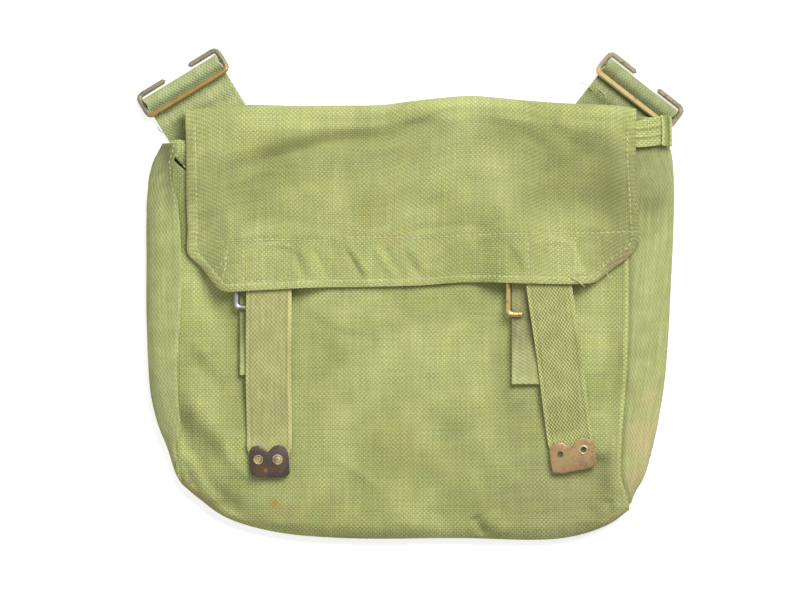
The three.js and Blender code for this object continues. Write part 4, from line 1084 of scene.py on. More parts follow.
# The metal tips of the straps: length in millimetres, outline on the chart, width in millimetres,
# and the place and radius of each open hole
TIP_LENGTH = 18.6
TIP_OUTLINES = {
    "left": [
        (252.6, 477.2), (290.2, 476), (289.6, 464), (288.6, 453), (286.6, 448.2), (283, 445.4),
        (279, 444.4), (275, 445.4), (271.6, 448), (268.2, 452.4), (264.6, 448.8), (261.5, 446.3),
        (257.2, 445.2), (253, 446.4), (250.2, 449.6), (249.6, 454.6), (250.4, 466),
    ],
    "right": [
        (553.2, 474.6), (595.8, 466.4), (595.6, 456), (594, 446.6), (592, 441.6), (588.6, 438.4),
        (583.6, 437.2), (578, 438.2), (573.8, 441.8), (571, 447.2), (566.6, 444.8), (563.2, 442.6),
        (558.6, 441.8), (553.6, 442.9), (549.8, 446), (548.6, 451), (550.2, 463),
    ],
}
TIP_WIDTHS = {"left": 21.4, "right": 23.2}
TIP_HOLES = {"left": [], "right": [((559.8, 454.1), 1.8), ((582.8, 449.4), 1.6)]}


def tip_place(side):
    """The end of a strap, its way, where its tip starts, and the height of the web's middle at
    both."""
    end = side.line.points[-1]
    way = side.line.way(np.array([1.0]))[0]
    start = end - way * TIP_LENGTH
    end_z = side.under(end[1] + MARGIN)[0] + STRAP_AT_TIP
    return end, way, start, end_z, side.under(start[1])[0] + STRAP_AT_TIP


def tip_middle(side, x, y):
    """Height of the middle of a strap's tip at a place."""
    end, way, _, end_z, start_z = tip_place(side)
    back = ((end[0] - x) * way[0] + (end[1] - y) * way[1]) / TIP_LENGTH
    return blend(end_z, start_z, back)


def strap(side):
    """The web strap, from under the flap over its buckle and into its tip."""
    line = side.line
    end, way, start, end_z, start_z = tip_place(side)
    share = even(120) * (1 - (TIP_LENGTH + 2 * MARGIN) / line.length)
    middle = line.along(share)
    forward = line.way(line.share_at(share))
    past_foot = smooth(side.foot - middle[:, 1], WIRE, WIRE + 30)
    past_chape = smooth(side.end - middle[:, 1], MARGIN, MARGIN + 30)
    over = blend(STRAP_HIGH, STRAP_OVER_CHAPE, past_foot)
    middle[:, 2] = side.under(middle[:, 1]) + blend(over, STRAP_LOW, past_chape)
    inside = np.linspace(0, TIP_LENGTH - TIP_PLATE - SEAM_GAP, 24)
    last = start + way * inside[:, None]
    last[:, 2] = blend(start_z, end_z, inside / TIP_LENGTH)
    middle = np.vstack([middle, last])
    forward = np.vstack([forward, np.broadcast_to(way, last.shape)])
    across = np.column_stack([-forward[:, 1], forward[:, 0], np.zeros(len(forward))])
    to_end = (end - middle) @ way
    tip_width = TIP_WIDTHS[side.name]
    narrowed = [(tip_width - 3) / STRAP, (tip_width - 0.4) / STRAP, 1]
    across *= np.interp(to_end, [1, 11, 17], narrowed)[:, None]
    share_across = np.linspace(-0.5, 0.5, WEB_COLUMNS)
    to_middle = abs(share_across)
    # The selvages are painted lighter, more on one side than the other, as painted light on the strap's
    # edges, with a darker line just inside them.
    strong = np.where(share_across > 0, *{"left": (0.28, 0.10), "right": (0.16, 0.20)}[side.name])
    painted_edge_light = strong * (to_middle > 0.435) - 0.18 * np.exp(-(((to_middle - 0.405) / 0.02) ** 2))
    x = middle[:, 0, None] + share_across * STRAP * across[:, 0, None]
    y = middle[:, 1, None] + share_across * STRAP * across[:, 1, None]
    # Painted shade in the holes of the tip: the strap is painted dark under them.
    painted_hole_shade = spots([(place, radius * 1.4, 0.75) for place, radius in TIP_HOLES[side.name]], x, y)
    return web_strip(f"strap_web_{side.name}", middle, across, STRAP, STRAP_THICK, {
        "tone": np.outer(np.ones(len(middle)), painted_edge_light) - painted_hole_shade,
    })


def cut_away(piece, cutter):
    """Take one closed form out of another."""
    cut = piece.modifiers.new("cut", "BOOLEAN")
    cut.operation = "DIFFERENCE"
    cut.solver = "EXACT"
    cut.object = cutter
    only(piece)
    bpy.ops.object.modifier_apply(modifier="cut")
    bpy.data.objects.remove(cutter, do_unlink=True)


def face_outward(piece):
    """Turns all the faces of a closed form outward."""
    only(piece)
    bpy.ops.object.mode_set(mode="EDIT")
    bpy.ops.mesh.select_all(action="SELECT")
    bpy.ops.mesh.normals_make_consistent(inside=False)
    bpy.ops.mesh.select_all(action="DESELECT")
    bpy.ops.object.mode_set(mode="OBJECT")


def tip_metal(piece, material):
    """Paints a metal piece of a strap's tip and fixes it to the bag."""
    paint(piece, material)
    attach(piece, "root")
    return piece


def strap_tip(side, material):
    """The metal end of a strap: a plate with two lobes, rounded at the rim, folded over the web."""
    outline = chart(TIP_OUTLINES[side.name])
    after = np.roll(outline, -1, axis=0)
    cut_corners = [outline * 0.8 + after * 0.2, outline * 0.2 + after * 0.8]
    outline = np.stack(cut_corners, axis=1).reshape(-1, 2)
    tall = STRAP_THICK + 2 * SEAM_GAP + 2 * TIP_PLATE
    bpy.ops.object.select_all(action="DESELECT")
    bpy.ops.mesh.primitive_circle_add(vertices=len(outline), radius=0.01, fill_type="NGON")
    tip = made(f"tip_plate_{side.name}")
    low = tip_middle(side, outline[:, 0], outline[:, 1]) - tall / 2
    for vertex, (x, y), z in zip(tip.data.vertices, outline, low):
        vertex.co = in_metres((x, y, z))
    bpy.ops.object.mode_set(mode="EDIT")
    bpy.ops.mesh.select_all(action="SELECT")
    bpy.ops.mesh.extrude_region_move(TRANSFORM_OT_translate={"value": (0, 0, tall * MM)})
    bpy.ops.object.mode_set(mode="OBJECT")
    face_outward(tip)
    round_edges(tip, 60, 0.62, 3)
    end, way, _, end_z, start_z = tip_place(side)
    beside = np.array([-way[1], way[0], 0])
    width = TIP_WIDTHS[side.name]
    gap = STRAP_THICK / 2 + SEAM_GAP
    bpy.ops.object.select_all(action="DESELECT")
    bpy.ops.mesh.primitive_cube_add(size=1)
    slot = bpy.context.object
    for vertex in slot.data.vertices:
        back = TIP_PLATE if vertex.co.x < 0 else TIP_LENGTH + 4
        half = (width - 2) / 2 if vertex.co.x < 0 else width * 0.75
        place = end - way * back + beside * half * (1 if vertex.co.y < 0 else -1)
        place[2] = blend(end_z, start_z, back / TIP_LENGTH) + gap * (1 if vertex.co.z > 0 else -1)
        vertex.co = in_metres(place)
    face_outward(slot)
    cut_away(tip, slot)
    for place, radius in TIP_HOLES[side.name]:
        x, y = chart([place])[0]
        middle = in_metres((x, y, tip_middle(side, x, y) + 2))
        bpy.ops.object.select_all(action="DESELECT")
        bpy.ops.mesh.primitive_cylinder_add(
            vertices=24, radius=radius * MM, depth=4 * MM, location=middle,
        )
        cut_away(tip, bpy.context.object)
    only(tip)
    bpy.ops.object.shade_smooth_by_angle(angle=math.radians(40))
    tip_metal(tip, material)
    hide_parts(f"strap_tip_{side.name}")
    return tip


def sew(name, routes, seed, pitch=3.1, length=2.3, thick=0.74):
    """Stitches along routes on the cloth's face, one made and then copied for all of them."""
    chance = np.random.default_rng(seed)
    bpy.ops.object.select_all(action="DESELECT")
    bpy.ops.mesh.primitive_uv_sphere_add(
        segments=6, ring_count=5, radius=0.5 * MM, rotation=(0, math.pi / 2, 0),
    )
    first = bpy.context.object
    first.name = name
    bpy.ops.object.transform_apply(location=True, rotation=True, scale=True)
    bpy.ops.object.mode_set(mode="EDIT")
    bpy.ops.mesh.select_all(action="SELECT")
    bpy.ops.transform.resize(value=(length, thick, thick * 0.75))
    bpy.ops.object.mode_set(mode="OBJECT")
    bpy.ops.object.shade_smooth()
    places = []
    for route in routes:
        steps = np.linalg.norm(np.diff(route, axis=0), axis=1)
        run = np.concatenate([[0], np.cumsum(steps)])
        count = max(int(run[-1] / pitch), 1)
        at = (np.arange(count) + 0.5) * run[-1] / count + chance.normal(0, 0.08, count)
        ends = [
            np.column_stack([np.interp(at + shift, run, route[:, k]) for k in range(3)])
            for shift in (-length / 2, 0, length / 2)
        ]
        for before, middle, after in zip(*ends):
            way = after - before
            way[:2] += chance.normal(0, 0.06, 2)
            way /= np.linalg.norm(way)
            beside = np.cross([0, 0, 1], way)
            beside /= np.linalg.norm(beside)
            up = np.cross(way, beside)
            matrix = Matrix.Identity(4)
            for column, axis in enumerate((way * chance.uniform(0.85, 1.12), beside, up)):
                for row in range(3):
                    matrix[row][column] = axis[row]
            for row in range(3):
                matrix[row][3] = (middle[row] + SHIFT[row] + up[row] * 0.16) * MM
            places.append(matrix)
    copies = []
    for matrix in places:
        copy = first.copy()
        copy.data = first.data.copy()
        copy.data.transform(matrix)
        bpy.context.collection.objects.link(copy)
        copies.append(copy)
    bpy.data.objects.remove(first)
    only(copies[0])
    for copy in copies:
        copy.select_set(True)
    bpy.ops.object.join()
    row = made(name)
    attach(row, "root")
    return row


def on_flap(line):
    """A drawn seam, lifted on to the face of the flap."""
    points = resample(line.points, 1.0)
    points[:, 2] = flap_top(points[:, 0], points[:, 1]) + CANVAS / 2
    return points


def between(top, bottom, left, right, columns, rows):
    """A small grid between four lines on the chart, its rows from the lower edge up."""
    edges = [Line(chart(edge)) for edge in (top, bottom, left, right)]
    return patch(*edges, even(columns), even(rows))[::-1]


def band(value, middle, reach):
    """1 at a value, easing to 0 on both sides of it."""
    return np.exp(-(((value - middle) / reach) ** 2))


def mouth_corner():
    """The corner of the mouth that shows beside the flap on the left."""
    grid = between(
        [(170.3, 142), (178, 140.2), (189, 142)], [(174.5, 155), (181, 163), (189, 170)],
        [(170.3, 142), (171.6, 148.5), (174.5, 155)], [(189, 142), (189, 156), (189, 170)], 22, 26,
    )
    x, y = grid[:, :, 0], grid[:, :, 1]
    low = resting(("haversack_gusset", "haversack_front", "tab_web_left"), x, y)
    rise = low.max()
    swell = 0.7 * np.sin(np.clip((x - x.min()) / 9.0, 0, 1) * math.pi)
    lifted = blend(0.85, 0.2, smooth(y.max() - y, 3, 16))
    high = flap_top(x, y) - UNDER_FLAP
    grid[:, :, 2] = np.minimum(blend(low, rise, lifted) + 0.9 + swell, high)
    edge = band(x, x.min(axis=1)[:, None], 0.8)
    return cloth("mouth_corner_left", grid, grid[:, :, :2], CORNER_THICK, {
        "wear": np.full(x.shape, 0.38), "tone": 0.06 + 0.10 * edge,
    })


def hem_corner():
    """The turned and sewn hem that shows beside the flap on the right."""
    columns, rows = 34, 60
    grid = between(
        [(631, 122.4), (645, 119.6), (661.5, 115.6)], [(631, 147.6), (646, 147), (661, 144.8)],
        [(631, 122.4), (631, 135), (631, 147.6)], [(661.5, 115.6), (661.6, 130), (661, 144.8)],
        columns, rows,
    )
    x, y = grid[:, :, 0], grid[:, :, 1]
    low = resting(("haversack_gusset", "haversack_front", "tab_web_right"), x, y, 2.5)
    down = np.linspace(1, 0, rows)[:, None] + np.zeros(x.shape)
    steps = 0.8 * (1 - smooth(down, 0.62, 0.67)) + 0.8 * (1 - smooth(down, 0.30, 0.35))
    grid[:, :, 2] = np.minimum(low.max() + 0.3 + steps, flap_top(x, y) - 1.45)
    # The rims of the steps are painted lighter as painted highlights and the cloth just under each step
    # darker as painted shadow; the rims are also a little worn.
    rims = sum(band(down, at, 0.035) for at in (0.04, 0.27, 0.59))
    under = sum(band(down, at, 0.04) for at in (0.38, 0.70))
    face = [0, 0, CORNER_THICK / 2]
    seam = np.linspace(0.3, 0.98, 30)
    HEM_ROUTES.append(np.column_stack([
        np.interp(seam, even(columns), grid[28, :, k]) for k in range(3)
    ]) + face)
    HEM_ROUTES.append(grid[36:58, 18] + face)
    return cloth("hem_corner_right", grid, grid[:, :, :2], CORNER_THICK, {
        "tone": 0.22 * rims - 0.32 * under, "wear": 0.2 * rims,
    })


def fold_corner():
    """The end of the strip that stands up as a narrow fold outside the hem."""
    columns = 20
    grid = between(
        [(660.5, 117), (665, 115.2), (670.5, 117.5)], [(661.2, 145.5), (666, 146.5), (671.5, 147.2)],
        [(660.5, 117), (661.6, 131), (661.2, 145.5)], [(670.5, 117.5), (671.3, 132), (671.5, 147.2)],
        columns, 32,
    )
    x, y = grid[:, :, 0], grid[:, :, 1]
    low = resting(("haversack_gusset", "tab_web_right"), x, y, 2.5)
    across = even(columns)[None, :] + np.zeros(x.shape)
    grid[:, :, 2] = low.max() + 1.0 + 2.2 * smooth(abs(across - 0.5), 0.12, 0.42)
    # The rims of the standing fold are painted lighter as painted highlights and its sunken middle
    # darker as painted shade; the rims are also a little worn.
    rims = band(across, 0, 0.12) + band(across, 1, 0.12)
    return cloth("fold_corner_right", grid, grid[:, :, :2], CORNER_THICK, {
        "tone": 0.24 * rims - 0.34 * band(across, 0.5, 0.24), "wear": 0.25 * rims,
    })


def loose_thread(name, places, thick, material):
    """A thread that has come out of the cloth, through five places in millimetres."""
    bpy.ops.object.select_all(action="DESELECT")
    bpy.ops.curve.primitive_nurbs_path_add(location=(0, 0, 0))
    thread = bpy.context.object
    for point, place in zip(thread.data.splines[0].points, places):
        point.co = (*in_metres(place), 1)
    thread.data.bevel_depth = thick / 2 * MM
    thread.data.bevel_resolution = 2
    thread.data.resolution_u = 6
    thread.data.use_fill_caps = True
    bpy.ops.object.convert(target="MESH")
    thread = made(name)
    bpy.ops.object.shade_smooth()
    paint(thread, material)
    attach(thread, "root")
    return thread


def loose_threads(sheet, rows):
    """Threads on a sheet, from rows of a name, a thickness, places on the chart and heights over
    the sheet."""
    threads = []
    for name, thick, places, lifts in rows:
        flat = chart(places)
        low = resting((sheet,), flat[:, 0], flat[:, 1])
        places = np.column_stack([flat, low + np.array(lifts)])
        threads.append(loose_thread(name, places, thick, THREAD_FINISH))
    return threads


def on_tip(side, place):
    """A place on the upper face of a strap's tip, in metres."""
    x, y = chart([place])[0]
    top = tip_middle(side, x, y) + STRAP_THICK / 2 + SEAM_GAP + TIP_PLATE
    return in_metres((x, y, top))


def eyelet(name, side, place, radius, material):
    """A small rolled ring with a rivet's hollow head in it, on a strap's tip."""
    bpy.ops.object.select_all(action="DESELECT")
    bpy.ops.mesh.primitive_cylinder_add(
        vertices=24, radius=radius * MM, depth=0.8 * MM, location=on_tip(side, place),
    )
    ring = made(name)
    bpy.ops.object.transform_apply(location=True, rotation=False, scale=False)
    bpy.ops.object.mode_set(mode="EDIT")
    bpy.ops.mesh.select_mode(type="FACE")
    bpy.ops.mesh.select_all(action="DESELECT")
    bpy.ops.object.mode_set(mode="OBJECT")
    for face in ring.data.polygons:
        face.select = face.normal.z > 0.9
    bpy.ops.object.mode_set(mode="EDIT")
    for inset, step in ((0.26, -0.32), (0.24, 0.22)):
        bpy.ops.mesh.inset(thickness=radius * inset * MM)
        bpy.ops.mesh.extrude_region_move(TRANSFORM_OT_translate={"value": (0, 0, step * MM)})
    bpy.ops.mesh.inset(thickness=radius * 0.22 * MM)
    bpy.ops.mesh.select_all(action="DESELECT")
    bpy.ops.object.mode_set(mode="OBJECT")
    round_edges(ring, 50, 0.14, 2)
    bpy.ops.object.shade_smooth_by_angle(angle=math.radians(50))
    return tip_metal(ring, material)


def hole_ring(name, side, place, radius, material):
    """The flattened ring round an open hole in a strap's tip."""
    x, y, z = on_tip(side, place)
    bpy.ops.object.select_all(action="DESELECT")
    bpy.ops.mesh.primitive_torus_add(
        major_segments=32, minor_segments=10, major_radius=radius * MM, minor_radius=0.62 * MM,
        location=(x, y, z),
    )
    ring = made(name)
    bpy.ops.object.transform_apply(location=True, rotation=False, scale=False)
    bpy.ops.object.mode_set(mode="EDIT")
    bpy.ops.mesh.select_all(action="SELECT")
    bpy.ops.transform.resize(value=(1, 1, 0.55), center_override=(x, y, z))
    bpy.ops.mesh.select_all(action="DESELECT")
    bpy.ops.object.mode_set(mode="OBJECT")
    bpy.ops.object.shade_smooth()
    return tip_metal(ring, material)


# Finishes
class Value:
    """A shader value that takes part in sums."""

    def __init__(self, finish, socket):
        self.finish = finish
        self.socket = socket

    def __add__(self, other):
        return self.finish.maths("ADD", self, other)

    __radd__ = __add__

    def __sub__(self, other):
        return self.finish.maths("SUBTRACT", self, other)

    def __rsub__(self, other):
        return self.finish.maths("SUBTRACT", other, self)

    def __mul__(self, other):
        return self.finish.maths("MULTIPLY", self, other)

    __rmul__ = __mul__

    def __pow__(self, other):
        return self.finish.maths("POWER", self, other)


class Finish:
    """A material under way: its nodes and the ways to add them."""

    def __init__(self, name):
        self.material = bpy.data.materials.new(name)
        self.material.use_nodes = True
        self.tree = self.material.node_tree
        self.tree.nodes.clear()

    def node(self, kind, settings=None, inputs=None, output=0):
        node = self.tree.nodes.new(kind)
        for key, value in (settings or {}).items():
            setattr(node, key, value)
        for key, value in (inputs or {}).items():
            if isinstance(value, Value):
                self.tree.links.new(value.socket, node.inputs[key])
            else:
                node.inputs[key].default_value = value
        return Value(self, node.outputs[output])

    def maths(self, operation, *values):
        return self.node("ShaderNodeMath", {"operation": operation}, dict(enumerate(values)))

    def vector(self, operation, *values, output=0):
        inputs = dict(enumerate(values))
        return self.node("ShaderNodeVectorMath", {"operation": operation}, inputs, output)

    def join(self, x, y, z=0.0):
        return self.node("ShaderNodeCombineXYZ", None, {"X": x, "Y": y, "Z": z})

    def split(self, vector):
        apart = self.tree.nodes.new("ShaderNodeSeparateXYZ")
        self.tree.links.new(vector.socket, apart.inputs[0])
        return tuple(Value(self, apart.outputs[k]) for k in range(3))

    def noise(self, vector, scale, detail=2.0, roughness=0.5):
        return self.node("ShaderNodeTexNoise", {"noise_dimensions": "3D"}, {
            "Vector": vector, "Scale": scale, "Detail": detail, "Roughness": roughness,
        })

    def ease(self, value, low, high):
        return self.node("ShaderNodeMapRange", {"interpolation_type": "SMOOTHSTEP"}, {
            "Value": value, "From Min": low, "From Max": high,
        })

    def mix(self, share, first, second):
        """Colours blended by a share from 0 to 1."""
        first, second = (
            color if isinstance(color, Value) else (*color, 1) for color in (first, second)
        )
        return self.node("ShaderNodeMix", {"data_type": "RGBA"}, {0: share, 6: first, 7: second}, 2)

    def scaled(self, color, strength):
        """A colour made lighter or darker by a value about 1."""
        return self.node(
            "ShaderNodeVectorMath", {"operation": "SCALE"}, {0: color, "Scale": strength},
        )

    def close(self, color, roughness, height, depth, bump, **fixed):
        """The finished material, with a relief of a depth in metres."""
        inputs = {"Base Color": color, "Roughness": roughness}
        for key, value in fixed.items():
            inputs[key.replace("_", " ")] = value
        inputs["Normal"] = self.node("ShaderNodeBump", None, {
            "Strength": bump, "Distance": depth, "Height": height,
        })
        return self.surface(self.node("ShaderNodeBsdfPrincipled", None, inputs))

    def surface(self, shader):
        """The material, with a shader as its surface."""
        output = self.tree.nodes.new("ShaderNodeOutputMaterial")
        self.tree.links.new(shader.socket, output.inputs["Surface"])
        return self.material


def woven(finish, across, along, wobble=0.35):
    """The cut's own coordinates in steps of the weave, with the yarns a little uneven."""
    cut = finish.node("ShaderNodeUVMap", {"uv_map": "cut"})
    drift = finish.noise(cut, 160.0, 2.0)
    drift_too = finish.noise(finish.vector("ADD", cut, (3.1, 1.7, 0.4)), 160.0, 2.0)
    x, y, _ = finish.split(cut)
    u = x * (1 / (across * MM)) + (drift - 0.5) * wobble
    v = y * (1 / (along * MM)) + (drift_too - 0.5) * wobble
    return cut, u, v


def painted(finish, key):
    """A value painted on the piece's own points."""
    return finish.node("ShaderNodeAttribute", {"attribute_name": key}, output=2)


def crossings(finish, u, v):
    """High where one set of yarns lies on top and low where the other does."""
    return finish.maths("SINE", u * math.pi) * finish.maths("SINE", v * math.pi)


def worn_places(finish, grain):
    """Where the cloth is worn, broken up by its grain."""
    return finish.ease(painted(finish, "wear") + (grain - 0.5) * 0.9, 0.30, 0.85)


CLOTH_GLOSS = {"Specular_IOR_Level": 0.18, "Sheen_Weight": 0.10, "Sheen_Roughness": 0.5}


def canvas_finish(name, light, dark, worn):
    """Plain weave of heavy cotton yarns, washed, faded and worn tan on its edges."""
    finish = Finish(name)
    pitch = 1.24
    cut, u, v = woven(finish, pitch, pitch)
    checks = crossings(finish, u, v)
    over = finish.ease(checks, -0.35, 0.35)
    lobe = finish.maths("ABSOLUTE", checks) ** 0.55
    warp_tone = finish.noise(finish.join(u * 0.93, v * 0.045), 1.0, 1.0)
    weft_tone = finish.noise(finish.join(u * 0.045, v * 0.93, 7.0), 1.0, 1.0)
    yarn = warp_tone * over + weft_tone * (1 - over)
    fuzz = finish.noise(cut, 1100.0, 3.0, 0.7)
    cloud = finish.noise(cut, 16.0, 3.0, 0.55)
    patches = finish.noise(cut, 60.0, 3.0, 0.6)
    # The crowns of the yarns are painted lighter and the gaps between them darker, a painted shade in
    # the weave; the tone painted on the pieces, most of it painted light and shade, is multiplied in.
    shade = 0.84 + lobe * 0.18 + (over - 0.5) * 0.30 + (yarn - 0.5) * 0.55
    shade = shade + (cloud - 0.5) * 0.22 + (patches - 0.5) * 0.20 + (fuzz - 0.5) * 0.45
    shade = shade * (painted(finish, "tone") + 1)
    base = finish.mix(finish.ease(cloud, 0.35, 0.68), dark, light)
    yellow = tuple(c * k for c, k in zip(light, (1.07, 1.0, 0.86)))
    yellowed = finish.mix(finish.ease(patches, 0.45, 0.75) * 0.35, base, yellow)
    grain = finish.noise(cut, 420.0, 4.0, 0.7)
    tanned = finish.mix(worn_places(finish, grain) * 0.8, yellowed, worn)
    rust = painted(finish, "rust") * finish.ease(grain, 0.2, 0.65)
    rusty = finish.mix(rust, tanned, (0.62, 0.33, 0.07))
    drab = finish.mix(painted(finish, "drab") * 0.45, rusty, (0.34, 0.33, 0.17))
    color = finish.scaled(drab, shade)
    height = lobe * 0.9 + (fuzz - 0.5) * 0.35 + (yarn - 0.5) * 0.5
    return finish.close(color, 0.93, height, 0.00026, 1.0, **CLOTH_GLOSS)


def web_finish(name, across, along, light, dark, worn, weave=0.24, depth=0.00022, stains_and_painted_light=()):
    """Close warp-faced web: rows of small ovals, each row half a step on from the last."""
    finish = Finish(name)
    cut, u, v = woven(finish, across / 2, along, 0.22)
    checks = crossings(finish, u, v)
    lobe = finish.ease(checks, -0.75, 0.8)
    end_tone = finish.noise(finish.join(u * 0.9, v * 0.05), 1.0, 1.0)
    fuzz = finish.noise(cut, 1100.0, 3.0, 0.7)
    cloud = finish.noise(cut, 28.0, 3.0, 0.55)
    patches = finish.noise(cut, 110.0, 3.0, 0.6)
    # The ovals of the yarns are painted lighter and the gaps between them darker, a painted shade in
    # the weave; the tone painted on the pieces, most of it painted light and shade, is multiplied in.
    shade = 0.96 - weave * 0.5 + lobe * weave + (end_tone - 0.5) * 0.50
    shade = shade + (fuzz - 0.5) * 0.40 + (cloud - 0.5) * 0.20
    shade = shade * (painted(finish, "tone") + 1)
    base = finish.mix(finish.ease(patches, 0.3, 0.75), dark, light)
    grain = finish.noise(cut, 420.0, 4.0, 0.7)
    color = finish.mix(worn_places(finish, grain) * 0.8, base, worn)
    # Stains, patina and painted shadow are mixed in over their marks.
    for key, stain_and_shade in stains_and_painted_light:
        share = painted(finish, key) * finish.ease(patches + grain * 0.5, 0.45, 0.95)
        color = finish.mix(share, color, stain_and_shade)
    color = finish.scaled(color, shade)
    height = lobe + (fuzz - 0.5) * 0.3 + (end_tone - 0.5) * 0.5
    return finish.close(color, 0.92, height, depth, 1.0, **CLOTH_GLOSS)


def thread_finish(name, color, dull):
    """Twisted sewing thread."""
    finish = Finish(name)
    place = finish.node("ShaderNodeTexCoord", None, None, 3)
    tone = finish.noise(place, 90.0, 2.0)
    twist = finish.noise(place, 2400.0, 2.0)
    shade = 0.86 + (twist - 0.5) * 0.5 + (tone - 0.5) * 0.3
    mixed = finish.mix(finish.ease(tone, 0.35, 0.65), dull, color)
    color = finish.scaled(mixed, shade)
    return finish.close(color, 0.85, twist, 0.00008, 0.8, Specular_IOR_Level=0.25)


def metal_finish(
    name, bright, dull, dark, metallic=0.9, shine=0.36, wear=(0.42, 0.66), bar=None, stains_and_painted_light=(),
):
    """Old metal: a dull skin, worn through to bright in patches, with small pits and scratches.
    bar is where one bar of a hook is warmer: the way out of the hook, its place and the colours.
    Each stain, and each painted highlight among them, is a place on the chart, a radius in millimetres,
    a colour and a share."""
    finish = Finish(name)
    place = finish.node("ShaderNodeTexCoord", None, None, 3)
    broad = finish.noise(place, 130.0, 3.0, 0.6)
    small = finish.noise(place, 900.0, 4.0, 0.65)
    pits = finish.noise(place, 3200.0, 2.0, 0.6)
    pointed = finish.node("ShaderNodeNewGeometry", None, None, "Pointiness")
    raised = finish.ease(pointed, 0.49, 0.56)
    worn = finish.ease(broad * 0.6 + small * 0.4 + raised * 0.12, *wear)
    skin = finish.mix(finish.ease(small, 0.35, 0.7), dark, dull)
    color = finish.mix(worn, skin, bright)
    if bar:
        way, edge, rubbed, tarnished = bar
        out = finish.vector("DOT_PRODUCT", place, way, output=1)
        on_bar = 1 - finish.ease(out + (small - 0.5) * 0.003, edge - 0.0015, edge + 0.0015)
        color = finish.mix(on_bar, color, finish.mix(worn, tarnished, rubbed))
    for at, reach, tint, share in stains_and_painted_light:
        x, y = (chart([at])[0] + SHIFT[:2]) * MM
        level = finish.vector("MULTIPLY", place, (1, 1, 0))
        far = finish.vector("DISTANCE", level, (x, y, 0), output=1) + (broad - 0.5) * 0.006
        color = finish.mix((1 - finish.ease(far, 0, reach * MM)) * share, color, tint)
    roughness = shine + (1 - worn) * 0.22 + (small - 0.5) * 0.2
    height = small * 0.6 + pits * 0.4 + worn * 0.2
    return finish.close(color, roughness, height, 0.00006, 0.7, Metallic=metallic)


def srgb(red, green, blue):
    """A colour as it is seen, from 0 to 255, in the numbers that a shader mixes."""
    parts = []
    for value in (red, green, blue):
        share = value / 255
        parts.append(share / 12.92 if share <= 0.04045 else ((share + 0.055) / 1.055) ** 2.4)
    return tuple(parts)


CANVAS_FINISH = canvas_finish("canvas", srgb(196, 204, 134), srgb(178, 186, 116), srgb(180, 164, 116))
GUSSET_FINISH = web_finish(
    "gusset_web", 1.85, 1.65, srgb(192, 199, 134), srgb(176, 183, 120), srgb(206, 188, 140), weave=0.17,
)
TAB_FINISH = web_finish(
    "tab_web", 1.8, 1.4, srgb(194, 202, 144), srgb(172, 180, 124), srgb(182, 166, 122),
    stains_and_painted_light=(("verdigris", srgb(128, 172, 140)), ("shadow", srgb(120, 124, 80))),
)
STRAP_FINISH = web_finish(
    "strap_web", 2.3, 1.26, srgb(197, 195, 133), srgb(183, 182, 120), srgb(198, 180, 128), weave=0.34,
)
STRAP_COARSE = web_finish(
    "strap_web_coarse", 1.8, 1.3, srgb(194, 197, 130), srgb(178, 181, 114), srgb(196, 182, 128),
    weave=0.64, depth=0.00036,
)
# Its stain colour is partly a real stain and partly painted shade.
CHAPE_FINISH = web_finish(
    "chape_web", 3.4, 1.05, srgb(194, 199, 136), srgb(174, 181, 122), srgb(170, 160, 118),
    weave=0.16, depth=0.0002, stains_and_painted_light=(("stain_and_shade", srgb(124, 120, 90)),),
)
THREAD_FINISH = thread_finish("sewing_thread", srgb(232, 234, 184), srgb(208, 212, 152))


def hook_finish(name, bright, dull, dark, rubbed, tarnished):
    """A hook's brass, warmer on the bar that its tab holds."""
    at, degrees = HOOKS[name]
    turn = math.radians(degrees)
    way = (-math.sin(turn), math.cos(turn), 0)
    middle = in_metres(np.append(shares([at])[0], 0))
    edge = float(np.dot(middle, way)) + (LONG_ALONG + HOOK_WIRE * 0.75) * MM
    return metal_finish(
        f"hook_brass_{name}", bright, dull, dark, metallic=0.3, shine=0.5,
        bar=(way, edge, rubbed, tarnished),
    )


HOOK_FINISHES = {
    "left": hook_finish(
        "left", srgb(160, 152, 124), srgb(132, 124, 98), srgb(96, 92, 76), srgb(182, 150, 88),
        srgb(138, 108, 66),
    ),
    "right": hook_finish(
        "right", srgb(176, 164, 134), srgb(142, 130, 104), srgb(102, 94, 78), srgb(220, 196, 138),
        srgb(176, 146, 96),
    ),
}
BRIGHT_FINISH = metal_finish(
    "bright_brass", srgb(246, 222, 150), srgb(214, 184, 112), srgb(150, 124, 72), shine=0.3,
)
STEEL_FINISH = metal_finish(
    "worn_steel", srgb(196, 198, 200), srgb(128, 130, 132), srgb(84, 86, 88), shine=0.34,
)
DARK_TIP_FINISH = metal_finish(
    "dark_tip", srgb(132, 108, 82), srgb(96, 80, 72), srgb(80, 68, 66), metallic=0.4, shine=0.34,
    wear=(0.50, 0.80), stains_and_painted_light=(
        ((262, 469), 6, srgb(122, 84, 60), 0.7), ((277, 468), 5, srgb(116, 86, 70), 0.5),
        # The small light spot at (266, 470) is a painted glint on the lower part of the tip.
        ((283, 449), 5, srgb(112, 102, 98), 0.6), ((266, 470), 1.6, srgb(170, 144, 108), 0.6),
        ((268.5, 458), 3.0, srgb(84, 78, 78), 0.6),
    ),
)
EYELET_FINISH = metal_finish(
    "eyelet_brass", srgb(226, 208, 158), srgb(176, 158, 112), srgb(120, 104, 72), metallic=0.6,
)
COPPER_TIP_FINISH = metal_finish(
    "copper_tip", srgb(206, 172, 124), srgb(178, 142, 100), srgb(150, 112, 80), metallic=0.4,
    shine=0.32, stains_and_painted_light=(
        ((567, 460), 8, srgb(190, 170, 114), 0.7), ((574, 470), 8, srgb(186, 138, 102), 0.6),
        ((585, 441), 6, srgb(150, 124, 102), 0.7), ((555, 445), 5, srgb(160, 132, 108), 0.5),
        ((583, 462), 4, srgb(166, 126, 98), 0.5),
    ),
)


